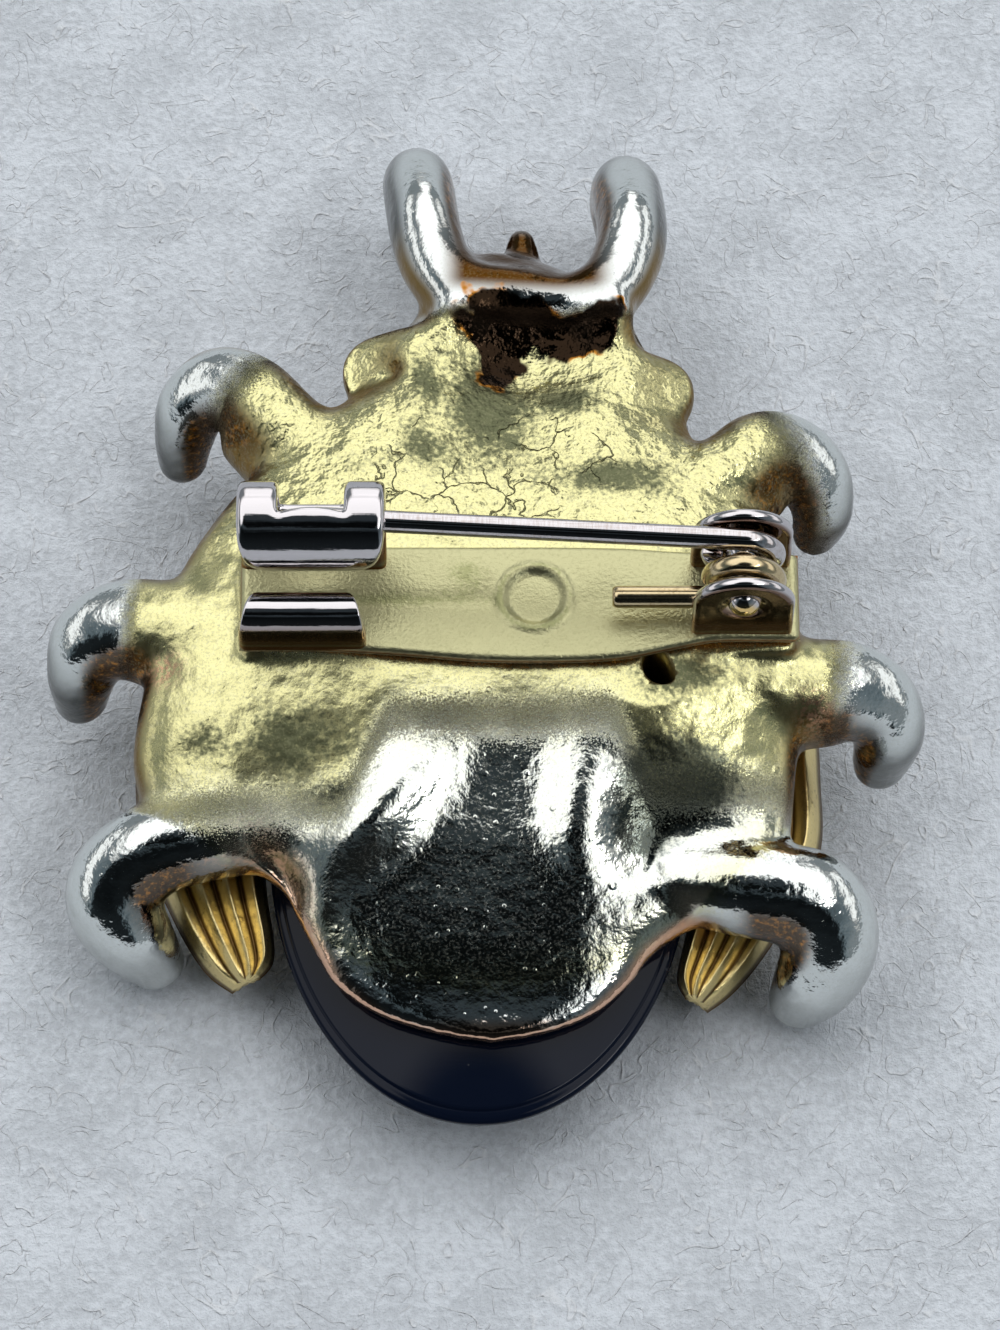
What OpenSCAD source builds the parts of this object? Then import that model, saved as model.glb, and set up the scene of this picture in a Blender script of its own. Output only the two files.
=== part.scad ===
// Beetle brooch lying face down: a cast back with six legs and two horns, two fluted wings,
// an oval stone, and a stamped pin finding with its catch, coil and swinging stem.
// The table is z = 0, +Z is the brooch's back and +Y is the head.

/* [Overall] */
// Width over the middle legs
span = 36.1; // [32:0.1:42]
// Length from the horn tips to the end of the stone
length = 44.06; // [40:0.02:50]
// Depth of the cast back, from the stone's flat back to the seat of the finding
body_t = 5.1; // [4:0.1:6.4]
// Thickness of the cast edge over the stone
rim_t = 0.6; // [0.4:0.05:1]

/* [Legs and horns] */
// Thickness of a leg where it leaves the body
leg_d = 3.9; // [3:0.1:4.8]
// Thickness of a horn where it leaves the head
horn_d = 2.9; // [2.2:0.1:3.6]
// Depth of a leg or horn as a share of its thickness
limb_depth = 1.12; // [0.9:0.02:1.3]

/* [Stone] */
// Width of the oval stone
stone_w = 17.2; // [15:0.2:20]
// Length of the oval stone
stone_l = 24.4; // [21:0.2:27]
// Height of the stone from its flat back to the top of its dome
stone_h = 4.8; // [3.8:0.1:6]
// Height of the bevelled edge round the stone's back
stone_bevel = 0.5; // [0.4:0.1:1.2]
// How far the stone's middle lies to the right of the brooch's
stone_x = -0.16; // [-0.6:0.02:0.6]

/* [Wings] */
// Thickness of a wing
wing_t = 0.9; // [0.6:0.1:1.2]
// Number of flutes across a wing
wing_flutes = 4; // [3:1:7]
// Height of a flute from valley to ridge
flute_h = 0.6; // [0.2:0.05:0.8]

/* [Back relief] */
// Distance between the soft swells on the lower back
swell_pitch = 7.2; // [5:0.1:9]
// Height of a swell
swell_h = 0.42; // [0.1:0.02:0.7]
// Diameter of the casting hole beside the finding
hole_d = 1.3; // [0.8:0.1:1.8]

/* [Finding] */
// Length of the finding's plate
bar_l = 22.5; // [20:0.5:25]
// Width of the plate
bar_w = 4.6; // [4.2:0.1:5.4]
// Thickness of the stamped sheet
sheet_t = 0.55; // [0.45:0.05:0.6]
// How far the plate's middle lies to the right of the brooch's
bar_x = 1.44; // [0.6:0.02:2]
// How far the plate's middle line lies below the brooch's
bar_y = 1.98; // [1.4:0.02:3]
// Diameter of the pressed ring in the plate
ring_d = 3; // [2.4:0.1:3.4]

/* [Pin] */
// Diameter of the spring wire
wire_d = 0.9; // [0.7:0.05:1]
// Diameter of the coil to the middle of its wire
coil_d = 2.5; // [2.3:0.05:2.8]
// Height of the coil's axis above the plate
coil_up = 2.45; // [2.3:0.05:2.8]
// Distance of the coil's axis from the plate's end
coil_in = 2.35; // [2.1:0.05:2.6]
// Length of the stem from the coil's axis to its point
stem_l = 19.4; // [17.5:0.1:20]
// Length of the stem's point
point_l = 2.4; // [1.5:0.1:3.5]
// Angle at which the stem leans towards the catch
stem_lean = 3.2; // [2.4:0.1:3.8]
// Length of the coil's loose tail from the coil's axis
tail_l = 5.2; // [4:0.1:7]
// Clear width between the ears that hold the coil
ear_gap = 2.45; // [2.4:0.05:2.8]
// How far the ears' middle lies above the plate's middle line
ear_y = 0.1; // [-0.2:0.05:0.3]

/* [Catch] */
// Length of the catch along the plate
catch_l = 5.9; // [4.5:0.1:6.4]
// Outer diameter of the catch's curl
catch_d = 3.6; // [3.2:0.05:4]
// Width of the notch in the curl as a share of its length
catch_notch = 0.44; // [0.3:0.02:0.6]
// Height of the low flange opposite the catch
flange_h = 2.2; // [1.6:0.1:2.8]
// Length of the low flange
flange_l = 5.1; // [3.5:0.1:5.6]

/* [Clearances] */
// Gap between the stone and the casting
stone_gap = 0.1; // [0.05:0.05:0.2]
// Gap between a wing and what it lies against
wing_gap = 0.12; // [0.05:0.01:0.2]
// Solder gap under the finding's plate
solder_gap = 0.05; // [0.02:0.01:0.1]
// Gap between the stem's turn and what it turns beside
turn_gap = 0.15; // [0.12:0.01:0.18]

/* [Hidden] */
$fn = 48;

half_w = span / 2;
half_l = length / 2;
stone_y = stone_l / 2 - half_l;
under_z = stone_h + stone_gap;
back_z = under_z + body_t;
bar_top = back_z + solder_gap + sheet_t;
bar_right = bar_x + bar_l / 2;
coil_x = bar_right - coil_in;
coil_z = bar_top + coil_up;
wire_r = wire_d / 2;
coil_r = coil_d / 2;
boss_r = coil_r - wire_r - 0.06;
// Middle of the stem's turn, then middle of the catch's curl, from the plate's middle line and top
turn_y = ear_y + ear_gap / 2 - wire_r - turn_gap;
catch_r = catch_d / 2;
catch_y = turn_y + tan(stem_lean) * (bar_l - coil_in - catch_l / 2);
catch_z = coil_up + coil_r + wire_r + turn_gap / 2 + sheet_t - catch_r;

// Each row is one section of the body from the neck to the lower edge. Columns: place along the
// length, left edge and right edge as shares of the half length and half width, and height of
// the back as a share of the body's depth above the rim.
BODY = [
  [ 0.502, -0.148, 0.323, 0.84],
  [ 0.461, -0.218, 0.374, 0.87],
  [ 0.411, -0.288, 0.414, 0.91],
  [ 0.345, -0.379, 0.464, 0.95],
  [ 0.260, -0.489, 0.504, 0.98],
  [ 0.189, -0.569, 0.574, 1.00],
  [ 0.108, -0.639, 0.654, 1.00],
  [ 0.028, -0.694, 0.704, 1.00],
  [-0.073, -0.738, 0.714, 1.00],
  [-0.164, -0.758, 0.719, 1.00],
  [-0.264, -0.780, 0.714, 0.93],
  [-0.365, -0.785, 0.699, 0.78],
  [-0.456, -0.730, 0.689, 0.66],
  [-0.521, -0.564, 0.674, 0.58],
  [-0.577, -0.454, 0.644, 0.49],
  [-0.637, -0.414, 0.494, 0.39],
  [-0.698, -0.374, 0.379, 0.28],
  [-0.758, -0.328, 0.323, 0.16],
  [-0.814, -0.233, 0.243, 0.07],
  [-0.849, -0.108, 0.138, 0.03],
  [-0.865, 0.002, 0.033, 0.00]
];

// Each row of a limb is one section from the body to the tip. Columns: place across and along as
// shares of the half width and half length, height (0 lies on the table, 1 is level with the
// back), and thickness as a share of the limb's.
LEG_FRONT_LEFT = [
  [-0.298, 0.209, 0.90, 1.00],
  [-0.449, 0.315, 0.88, 1.00],
  [-0.539, 0.403, 0.83, 0.95],
  [-0.614, 0.441, 0.73, 0.86],
  [-0.679, 0.426, 0.57, 0.76],
  [-0.703, 0.397, 0.38, 0.66],
  [-0.711, 0.373, 0.22, 0.54]
];
LEG_FRONT_RIGHT = [
  [ 0.353, 0.139, 0.92, 1.00],
  [ 0.549, 0.223, 0.90, 0.94],
  [ 0.626, 0.282, 0.84, 0.92],
  [ 0.699, 0.292, 0.74, 0.90],
  [ 0.762, 0.268, 0.58, 0.80],
  [ 0.785, 0.229, 0.40, 0.66],
  [ 0.773, 0.212, 0.24, 0.50]
];
LEG_MIDDLE_LEFT = [
  [-0.519, -0.123, 0.90, 1.20],
  [-0.699, -0.093, 0.88, 1.14],
  [-0.812, -0.073, 0.80, 1.06],
  [-0.888, -0.086, 0.66, 0.93],
  [-0.916, -0.117, 0.48, 0.76],
  [-0.927, -0.135, 0.24, 0.58]
];
LEG_MIDDLE_RIGHT = [
  [ 0.524, -0.204, 0.90, 1.20],
  [ 0.724, -0.209, 0.88, 1.14],
  [ 0.825, -0.201, 0.80, 1.06],
  [ 0.891, -0.218, 0.66, 0.90],
  [ 0.917, -0.250, 0.48, 0.76],
  [ 0.905, -0.270, 0.24, 0.58]
];
LEG_HIND_LEFT = [
  [-0.359, -0.426, 0.70, 1.00],
  [-0.529, -0.461, 0.70, 0.98],
  [-0.629, -0.478, 0.68, 0.94],
  [-0.735, -0.499, 0.64, 0.96],
  [-0.808, -0.531, 0.50, 1.00],
  [-0.832, -0.571, 0.36, 1.00],
  [-0.802, -0.612, 0.20, 0.90],
  [-0.750, -0.637, -0.02, 0.64]
];
LEG_HIND_RIGHT = [
  [ 0.404, -0.536, 0.66, 1.00],
  [ 0.564, -0.577, 0.68, 1.00],
  [ 0.644, -0.585, 0.66, 1.02],
  [ 0.720, -0.595, 0.60, 1.06],
  [ 0.763, -0.627, 0.46, 1.06],
  [ 0.771, -0.663, 0.30, 1.00],
  [ 0.747, -0.698, 0.14, 0.88],
  [ 0.716, -0.713, -0.015, 0.66]
];
HORN_LEFT = [
  [ 0.203, 0.567, 0.90, 0.90],
  [ 0.093, 0.594, 0.93, 0.92],
  [-0.038, 0.604, 0.95, 1.00],
  [-0.102, 0.658, 0.92, 1.04],
  [-0.136, 0.748, 0.84, 1.06],
  [-0.156, 0.869, 0.72, 1.06],
  [-0.162, 0.921, 0.50, 1.02],
  [-0.162, 0.930, 0.22, 0.94],
  [-0.162, 0.932, -0.035, 0.74]
];
HORN_RIGHT = [
  [ 0.123, 0.567, 0.88, 0.90],
  [ 0.203, 0.579, 0.92, 0.94],
  [ 0.283, 0.615, 0.93, 1.00],
  [ 0.325, 0.675, 0.90, 1.02],
  [ 0.346, 0.758, 0.82, 1.04],
  [ 0.339, 0.864, 0.68, 1.04],
  [ 0.333, 0.908, 0.47, 1.02],
  [ 0.330, 0.917, 0.20, 0.94],
  [ 0.329, 0.919, -0.035, 0.74]
];

// Each row is one oval on the front. Columns: place across, along and up as shares of the half
// width, the half length and the back's height, then its half sizes the same three ways.
OVALS = [
  [0.053, 0.280, 0.50, 0.410, 0.227, 0.41], // shield of the thorax
  [0.073, 0.562, 0.60, 0.233, 0.145, 0.34]  // head
];

// Each row is one lump, drawn out between two balls. Columns: place across, along and up of the
// first ball as shares of the half width, the half length and the back's height, its radius as a
// share of the half width, then the same four for the second ball.
LUMPS = [
  [ 0.023, 0.627, 0.66, 0.1163,  0.093, 0.612, 0.66, 0.1163], // brow between the horns
  [ 0.088, 0.683, 0.66, 0.0554,  0.086, 0.761, 0.64, 0.0332], // nub on the brow
  [-0.238, 0.456, 0.70, 0.0970, -0.168, 0.451, 0.76, 0.1108], // left eye
  [ 0.394, 0.411, 0.70, 0.0970,  0.343, 0.401, 0.76, 0.1136], // right eye
  [-0.088, 0.557, 0.62, 0.0886, -0.148, 0.481, 0.66, 0.0886], // left cheek
  [ 0.268, 0.547, 0.62, 0.0886,  0.313, 0.451, 0.66, 0.0886], // right cheek
  [-0.038, 0.562, 0.86, 0.0665, -0.088, 0.491, 0.82, 0.0720], // web under the left horn
  [ 0.283, 0.562, 0.86, 0.0665,  0.273, 0.491, 0.82, 0.0720], // web under the right horn
  [-0.469, 0.250, 0.70, 0.0776, -0.554, 0.320, 0.66, 0.0609], // web under the front left leg
  [ 0.554, 0.149, 0.70, 0.0776,  0.644, 0.209, 0.66, 0.0609]  // web under the front right leg
];

// Each row is one place along the plate. Columns: place along as a share of the plate's length,
// upper edge and lower edge as shares of its width.
BAR_EDGE = [
  [-0.50, 0.48, -0.50],
  [-0.36, 0.50, -0.50],
  [-0.22, 0.50, -0.54],
  [-0.08, 0.50, -0.60],
  [ 0.06, 0.50, -0.615],
  [ 0.18, 0.49, -0.58],
  [ 0.27, 0.46, -0.49],
  [ 0.34, 0.44, -0.42],
  [ 0.42, 0.43, -0.41],
  [ 0.50, 0.43, -0.41]
];

// Each row is one section of a wing from its shoulder to its tip. Columns: place along as a
// share of the half length, outer edge as a share of the half width, room beyond the stone's
// side at the inner edge as a share of the half width, and height of the inner edge as a share
// of the casting's underside.
WING_LEFT = [
  [ 0.083, 0.489, 0.110, 0.96],
  [ 0.053, 0.599, 0.070, 0.98],
  [-0.033, 0.699, 0.040, 1.00],
  [-0.154, 0.780, 0.020, 1.00],
  [-0.295, 0.800, 0.010, 1.00],
  [-0.436, 0.775, 0.005, 0.99],
  [-0.557, 0.712, 0.005, 0.96],
  [-0.632, 0.663, 0.008, 0.92],
  [-0.678, 0.619, 0.025, 0.87],
  [-0.707, 0.569, 0.065, 0.83]
];
WING_RIGHT = [
  [ 0.083, 0.494, 0.110, 0.96],
  [ 0.053, 0.604, 0.070, 0.98],
  [-0.033, 0.694, 0.040, 1.00],
  [-0.154, 0.760, 0.020, 1.00],
  [-0.295, 0.771, 0.010, 1.00],
  [-0.436, 0.765, 0.005, 0.99],
  [-0.567, 0.687, 0.005, 0.96],
  [-0.652, 0.622, 0.005, 0.92],
  [-0.711, 0.559, 0.015, 0.87],
  [-0.745, 0.504, 0.050, 0.83]
];

// The row of a table at place t, on a smooth curve through its rows
function row_at(rows, t) =
  let (
    last = len(rows) - 1,
    i = min(floor(t), last - 1),
    f = t - i,
    p0 = rows[max(i - 1, 0)],
    p1 = rows[i],
    p2 = rows[i + 1],
    p3 = rows[min(i + 2, last)]
  )
  0.5 * (2 * p1 + (p2 - p0) * f + (2 * p0 - 5 * p1 + 4 * p2 - p3) * pow(f, 2)
    + (3 * p1 - p0 - 3 * p2 + p3) * pow(f, 3));

function unit(v) = v / norm(v);

// Skin over a list of rings that all have the same number of points
module skin(rings) {
  n = len(rings[0]);
  last = len(rings) - 1;
  points = [for (ring = rings) each ring];
  sides = [for (i = [0:last - 1], k = [0:n - 1])
    let (a = i * n + k, b = i * n + (k + 1) % n)
    each [[a, b, b + n], [a, b + n, a + n]]];
  start = [[for (k = [0:n - 1]) n - 1 - k]];
  end = [[for (k = [0:n - 1]) last * n + k]];
  polyhedron(points = points, faces = concat(start, sides, end));
}

// The soft swells across the lower back, which fade out towards the finding and the rim
function swell(x, y) =
  let (fade = max(0, min(1, (-y / half_l - 0.16) / 0.14)) * max(0, min(1, (0.86 + y / half_l) / 0.2)))
  swell_h / 2 * fade * cos(360 * (x - 0.6) / swell_pitch);

// One section of the body at place t, flat underneath and crowned with rolled edges on top
function body_ring(t, top_steps = 26, low_steps = 8) =
  let (
    row = row_at(BODY, t),
    y = row[0] * half_l,
    x0 = row[1] * half_w,
    x1 = row[2] * half_w,
    mid = (x0 + x1) / 2,
    reach = max((x1 - x0) / 2, 0.2),
    high = under_z + rim_t + max(row[3], 0) * (body_t - rim_t),
    waist = under_z + 0.35 * (high - under_z)
  )
  concat(
    [for (k = [0:top_steps])
      let (u = sin(90 * (2 * k / top_steps - 1)), lift = pow(1 - pow(abs(u), 4), 0.25), x = mid + reach * u)
      [x, y, waist + (high - waist + swell(x, y)) * lift]],
    [for (k = [1:low_steps - 1])
      let (u = sin(90 * (1 - 2 * k / low_steps)), drop = pow(1 - pow(abs(u), 6), 0.17))
      [mid + reach * u, y, waist - (waist - under_z) * drop]]
  );

module body(steps = 2) {
  last = len(BODY) - 1;
  skin([for (i = [0:last * steps]) body_ring(i / steps)]);
}

// Middle, half thickness and half depth of a limb at place t
function limb_at(rows, t, d) =
  let (row = row_at(rows, t), half = row[3] * d / 2, deep = half * limb_depth)
  [row[0] * half_w, row[1] * half_l, deep + row[2] * (back_z - 2 * deep), half];

function limb_ring(p, across, over, half, deep, sides) =
  [for (k = [0:sides - 1])
    let (a = 360 * k / sides)
    p + across * half * cos(a) + over * deep * sin(a)];

// A leg or horn: oval sections square to its curve, with a round tip
module limb(rows, d, steps = 3, sides = 12) {
  last = (len(rows) - 1) * steps;
  at = [for (i = [0:last]) limb_at(rows, i / steps, d)];
  spots = [for (a = at) [a[0], a[1], a[2]]];
  way = [for (i = [0:last]) unit(spots[min(i + 1, last)] - spots[max(i - 1, 0)])];
  across = [for (w = way) unit([w[1], -w[0], 0])];
  over = [for (i = [0:last]) cross(across[i], way[i])];
  half = at[last][3];
  skin(concat(
    [for (i = [0:last])
      limb_ring(spots[i], across[i], over[i], at[i][3], at[i][3] * limb_depth, sides)],
    [for (a = [30, 55, 76])
      limb_ring(
        spots[last] + way[last] * half * sin(a) * 0.85,
        across[last], over[last], half * cos(a), half * limb_depth * cos(a), sides)]
  ));
}

// A ball drawn out between two places
module lump(a, ra, b, rb) {
  hull() {
    translate(a) sphere(r = ra, $fn = 18);
    translate(b) sphere(r = rb, $fn = 18);
  }
}

function spot(sx, sy, up) = [sx * half_w, sy * half_l, up * back_z];

// A ball pressed into an oval
module oval(at, size) {
  translate(at) scale(size) sphere(r = 1, $fn = 20);
}

module head_and_thorax() {
  for (row = OVALS)
    oval(spot(row[0], row[1], row[2]), spot(row[3], row[4], row[5]));
  for (row = LUMPS)
    lump(spot(row[0], row[1], row[2]), row[3] * half_w, spot(row[4], row[5], row[6]), row[7] * half_w);
}

// Level seat that the finding's plate is soldered to
module seat() {
  depth = 0.31 * body_t;
  inset = 0.022 * bar_w;
  translate([bar_x, -bar_y, back_z - depth])
    linear_extrude(depth)
      square([bar_l - 2 * inset, bar_w - 2 * inset], center = true);
}

// Room for the stone in whatever lies around it
module stone_room(gap, top) {
  translate([stone_x, stone_y, -1])
    scale([(stone_w + 2 * gap) / stone_l, (stone_l + 2 * gap) / stone_l, 1])
      cylinder(d = stone_l, h = top + 1, $fn = 72);
}

// Pinched hole that the caster left beside the finding
module casting_hole() {
  hull() {
    translate([bar_x + 0.238 * bar_l, -bar_y - 0.50 * bar_w, under_z - 1])
      cylinder(d = hole_d, h = body_t + 2, $fn = 16);
    translate([bar_x + 0.262 * bar_l, -bar_y - 0.66 * bar_w, under_z - 1])
      cylinder(d = 0.7 * hole_d, h = body_t + 2, $fn = 16);
  }
}

module back_casting() {
  color("#d8c46a")
    difference() {
      union() {
        body();
        limb(LEG_FRONT_LEFT, leg_d);
        limb(LEG_FRONT_RIGHT, leg_d);
        limb(LEG_MIDDLE_LEFT, leg_d);
        limb(LEG_MIDDLE_RIGHT, leg_d);
        limb(LEG_HIND_LEFT, leg_d);
        limb(LEG_HIND_RIGHT, leg_d);
        limb(HORN_LEFT, horn_d);
        limb(HORN_RIGHT, horn_d);
        head_and_thorax();
        seat();
      }
      stone_room(stone_gap, under_z);
      wing_bed(WING_LEFT, -1);
      wing_bed(WING_RIGHT, 1);
      casting_hole();
    }
}

// Half the stone's width at place y, with a gap round it
function stone_side(y, gap) =
  let (s = min(abs(y - stone_y) / (stone_l / 2 + gap), 1))
  (stone_w / 2 + gap) * sqrt(1 - s * s);

// One section of a wing at place t: ridges and valleys above, the same ones below, which get lower
// where the wing narrows. Lower flutes leave the outside where the full ridges would be, and room
// makes it larger all round.
function wing_ring(rows, side, t, flute, room, steps) =
  let (
    row = row_at(rows, t),
    y = row[0] * half_l,
    outer = row[1] * half_w + room,
    inner = min(side * stone_x + stone_side(y, wing_gap) + row[2] * half_w, outer - 1) - room,
    middle = row[3] * (under_z - wing_gap - flute_h / 2),
    high = middle + (flute_h - flute) / 2 + room,
    low = middle - wing_t - (flute_h - flute) / 2 - room,
    fall = 0.34 * stone_h,
    wave = flute / 2 * min(1, (outer - inner) / (0.25 * half_w))
  )
  concat(
    [for (k = [0:steps])
      let (u = k / steps)
      [side * (inner + (outer - inner) * u), y,
        high - fall * pow(u, 2.2) - wave * cos(360 * wing_flutes * u)]],
    [for (k = [0:steps])
      let (u = 1 - k / steps)
      [side * (inner + (outer - inner) * u), y,
        low - fall * pow(u, 2.2) - wave * cos(360 * wing_flutes * u)]]
  );

module wing(rows, side, flute = flute_h, room = 0, steps = 20) {
  last = 2 * (len(rows) - 1);
  rings = [for (i = [0:last]) wing_ring(rows, side, i / 2, flute, room, steps)];
  skin(side > 0 ? rings : [for (i = [0:last]) rings[last - i]]);
}

// Smooth bed that the casting has for a wing
module wing_bed(rows, side) {
  wing(rows, side, flute = 0, room = 0.8 * wing_gap, steps = 6);
}

module wing_left() {
  color("#c9a94e") wing(WING_LEFT, -1);
}

module wing_right() {
  color("#c9a94e") wing(WING_RIGHT, 1);
}

// The stone: a dome that rests on the table, a girdle, a bevel and a flat back
module stone() {
  sides = 48;
  girdle = stone_h - stone_bevel;
  dome = concat([[0.08, 0]], [for (a = [13, 25, 37, 49, 61, 71, 80, 86])
    [pow(sin(a), 0.92), girdle * (1 - pow(cos(a), 1.1))]]);
  edge = [for (a = [0, 22, 44, 66, 88])
    [1 - 0.09 * (1 - cos(a)), girdle + stone_bevel * sin(a) / sin(88)]];
  color("#0a0d16")
    translate([stone_x, stone_y, 0])
      skin([for (p = concat(dome, edge))
        [for (k = [0:sides - 1])
          let (a = -360 * k / sides)
          [stone_w / 2 * p[0] * cos(a), stone_l / 2 * p[0] * sin(a), p[1]]]]);
}

module bar_outline(steps = 3) {
  last = (len(BAR_EDGE) - 1) * steps;
  upper = [for (i = [0:last]) let (row = row_at(BAR_EDGE, i / steps)) [row[0] * bar_l, row[1] * bar_w]];
  lower = [for (i = [0:last]) let (row = row_at(BAR_EDGE, (last - i) / steps)) [row[0] * bar_l, row[2] * bar_w]];
  polygon(concat(upper, lower));
}

// Wedge of a circle from angle a0 to a1, wide enough to cover radius r
module wedge(r, a0, a1) {
  polygon(concat([[0, 0]], [for (k = [0:4]) let (a = a0 + (a1 - a0) * k / 4) 1.5 * r * [cos(a), sin(a)]]));
}

// Turns a profile drawn in y and z into a piece that runs along x
module along_x(l) {
  rotate([90, 0, 90]) linear_extrude(l) children();
}

// Profile of the catch in y and z: a leaning wall that runs into a curl
module catch_profile(foot = -35, end = 218, steps = 44) {
  wall_l = (catch_z + catch_r * sin(foot)) / cos(foot) + sheet_t;
  wall = wall_l * [sin(foot), -cos(foot)];
  round_at = [for (i = [0:steps]) let (a = foot + (end - foot) * i / steps) [cos(a), sin(a)]];
  translate([catch_y, catch_z])
    polygon(concat(
      [catch_r * round_at[0] + wall],
      [for (i = [0:steps]) catch_r * round_at[i]],
      [for (i = [0:steps]) (catch_r - sheet_t) * round_at[steps - i]],
      [(catch_r - sheet_t) * round_at[0] + wall]
    ));
}

// Catch: notched above and rounded at the corners below
module catch_hook() {
  notch_l = catch_notch * catch_l;
  corner = 1.2;
  difference() {
    along_x(catch_l) catch_profile();
    translate([-1, -bar_w, -sheet_t - 2]) cube([catch_l + 2, 3 * bar_w, 2]);
    translate([(catch_l - notch_l) / 2, catch_y - 0.1 * catch_r, catch_z - 0.5 * catch_r])
      cube([notch_l, 2 * catch_r, 2 * catch_r]);
    for (x = [0, catch_l])
      difference() {
        translate([x - corner, catch_y - catch_r - 1, catch_z + 0.3 * corner - catch_r])
          cube([2 * corner, catch_r, catch_r]);
        translate([x == 0 ? corner : catch_l - corner, catch_y, catch_z + 0.3 * corner])
          rotate([90, 0, 0])
            cylinder(r = corner, h = 2 * catch_r + 2);
      }
  }
}

// Low flange opposite the catch, curled over its top, with rounded ends
module low_flange() {
  curl_r = 0.4 * flange_h;
  corner = 0.35 * flange_h;
  y = -bar_w / 2;
  intersection() {
    union() {
      translate([0, y, -sheet_t]) cube([flange_l, sheet_t, flange_h - curl_r + sheet_t]);
      translate([0, y + curl_r, flange_h - curl_r])
        along_x(flange_l)
          difference() {
            intersection() {
              circle(r = curl_r);
              wedge(curl_r, 25, 180);
            }
            circle(r = curl_r - sheet_t);
          }
    }
    translate([0, 0, -sheet_t])
      rotate([90, 0, 0])
        linear_extrude(2 * bar_w, center = true) {
          square([flange_l, flange_h + sheet_t - corner]);
          translate([corner, 0]) square([flange_l - 2 * corner, flange_h + sheet_t]);
          translate([corner, flange_h + sheet_t - corner]) circle(r = corner);
          translate([flange_l - corner, flange_h + sheet_t - corner]) circle(r = corner);
        }
  }
}

// Ear that holds the coil: a round-topped wall with a pressed boss that the coil turns on
module ear() {
  ear_r = 0.09 * bar_l;
  boss_l = 0.8;
  dish_d = 2.4;
  difference() {
    union() {
      translate([-ear_r, 0, -sheet_t]) cube([2 * ear_r, sheet_t, coil_up + sheet_t]);
      translate([0, sheet_t, coil_up])
        rotate([90, 0, 0])
          scale([1, 0.92, 1])
            cylinder(r = ear_r, h = sheet_t);
      translate([0, 0, coil_up]) rotate([90, 0, 0]) cylinder(r = boss_r, h = boss_l);
    }
    translate([0, sheet_t - 0.3, coil_up])
      rotate([-90, 0, 0])
        cylinder(d1 = 0.5 * dish_d, d2 = dish_d, h = 0.31);
  }
}

module pin_plate() {
  ring_x = 0.027 * bar_l;
  color("#b9a36b")
    translate([bar_x, -bar_y, bar_top]) {
      difference() {
        translate([0, 0, -sheet_t]) linear_extrude(sheet_t) bar_outline();
        translate([ring_x, 0, -0.18]) cylinder(d = ring_d - 0.5, h = 1);
      }
      translate([ring_x, 0, 0])
        rotate_extrude()
          translate([ring_d / 2 - 0.18, 0]) circle(r = 0.16);
      translate([-bar_l / 2, 0, 0]) catch_hook();
      translate([-bar_l / 2, 0, 0]) low_flange();
      translate([bar_l / 2 - coil_in, ear_y + ear_gap / 2, 0]) ear();
      translate([bar_l / 2 - coil_in, ear_y - ear_gap / 2, 0]) mirror([0, 1, 0]) ear();
    }
}

// Stem: three quarters of a turn round the coil's axis, then the straight arm and its point. All
// of it leans, so the turn has the slant of a coil.
module pin_stem() {
  arm_l = stem_l - point_l;
  color("#c9ccd0")
    translate([coil_x, turn_y - bar_y, coil_z])
      rotate([0, 0, -stem_lean]) {
        rotate([90, 0, 0])
          rotate([0, 0, 180])
            rotate_extrude(angle = 270)
              translate([coil_r, 0]) circle(r = wire_r);
        translate([0, 0, coil_r])
          rotate([0, -90, 0]) {
            cylinder(r = wire_r, h = arm_l);
            translate([0, 0, arm_l]) cylinder(r1 = wire_r, r2 = 0.12 * wire_r, h = point_l);
          }
      }
}

// The rest of the coil: a still turn beside the stem's, and its loose tail
module spring_coil() {
  sides = 14;
  steps = 24;
  turns = 0.75;
  y0 = ear_y - ear_gap / 2 + wire_r + turn_gap / 2;
  y1 = turn_y - wire_d - turn_gap;
  tail = [for (x = [-tail_l, -tail_l / 2, -0.2])
    [for (k = [0:sides - 1])
      let (a = 360 * k / sides)
      [x, y0 + wire_r * cos(a), -coil_r + wire_r * sin(a)]]];
  helix = [for (i = [0:steps * turns])
    let (b = -90 + 360 * i / steps, y = y0 + (y1 - y0) * i / (steps * turns))
    [for (k = [0:sides - 1])
      let (a = 360 * k / sides, r = coil_r - wire_r * sin(a))
      [r * cos(b), y + wire_r * cos(a), r * sin(b)]]];
  color("#c9b58a")
    translate([coil_x, -bar_y, coil_z])
      skin(concat(tail, helix));
}

back_casting();
wing_left();
wing_right();
stone();
pin_plate();
pin_stem();
spring_coil();
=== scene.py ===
import math
from collections import namedtuple

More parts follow.
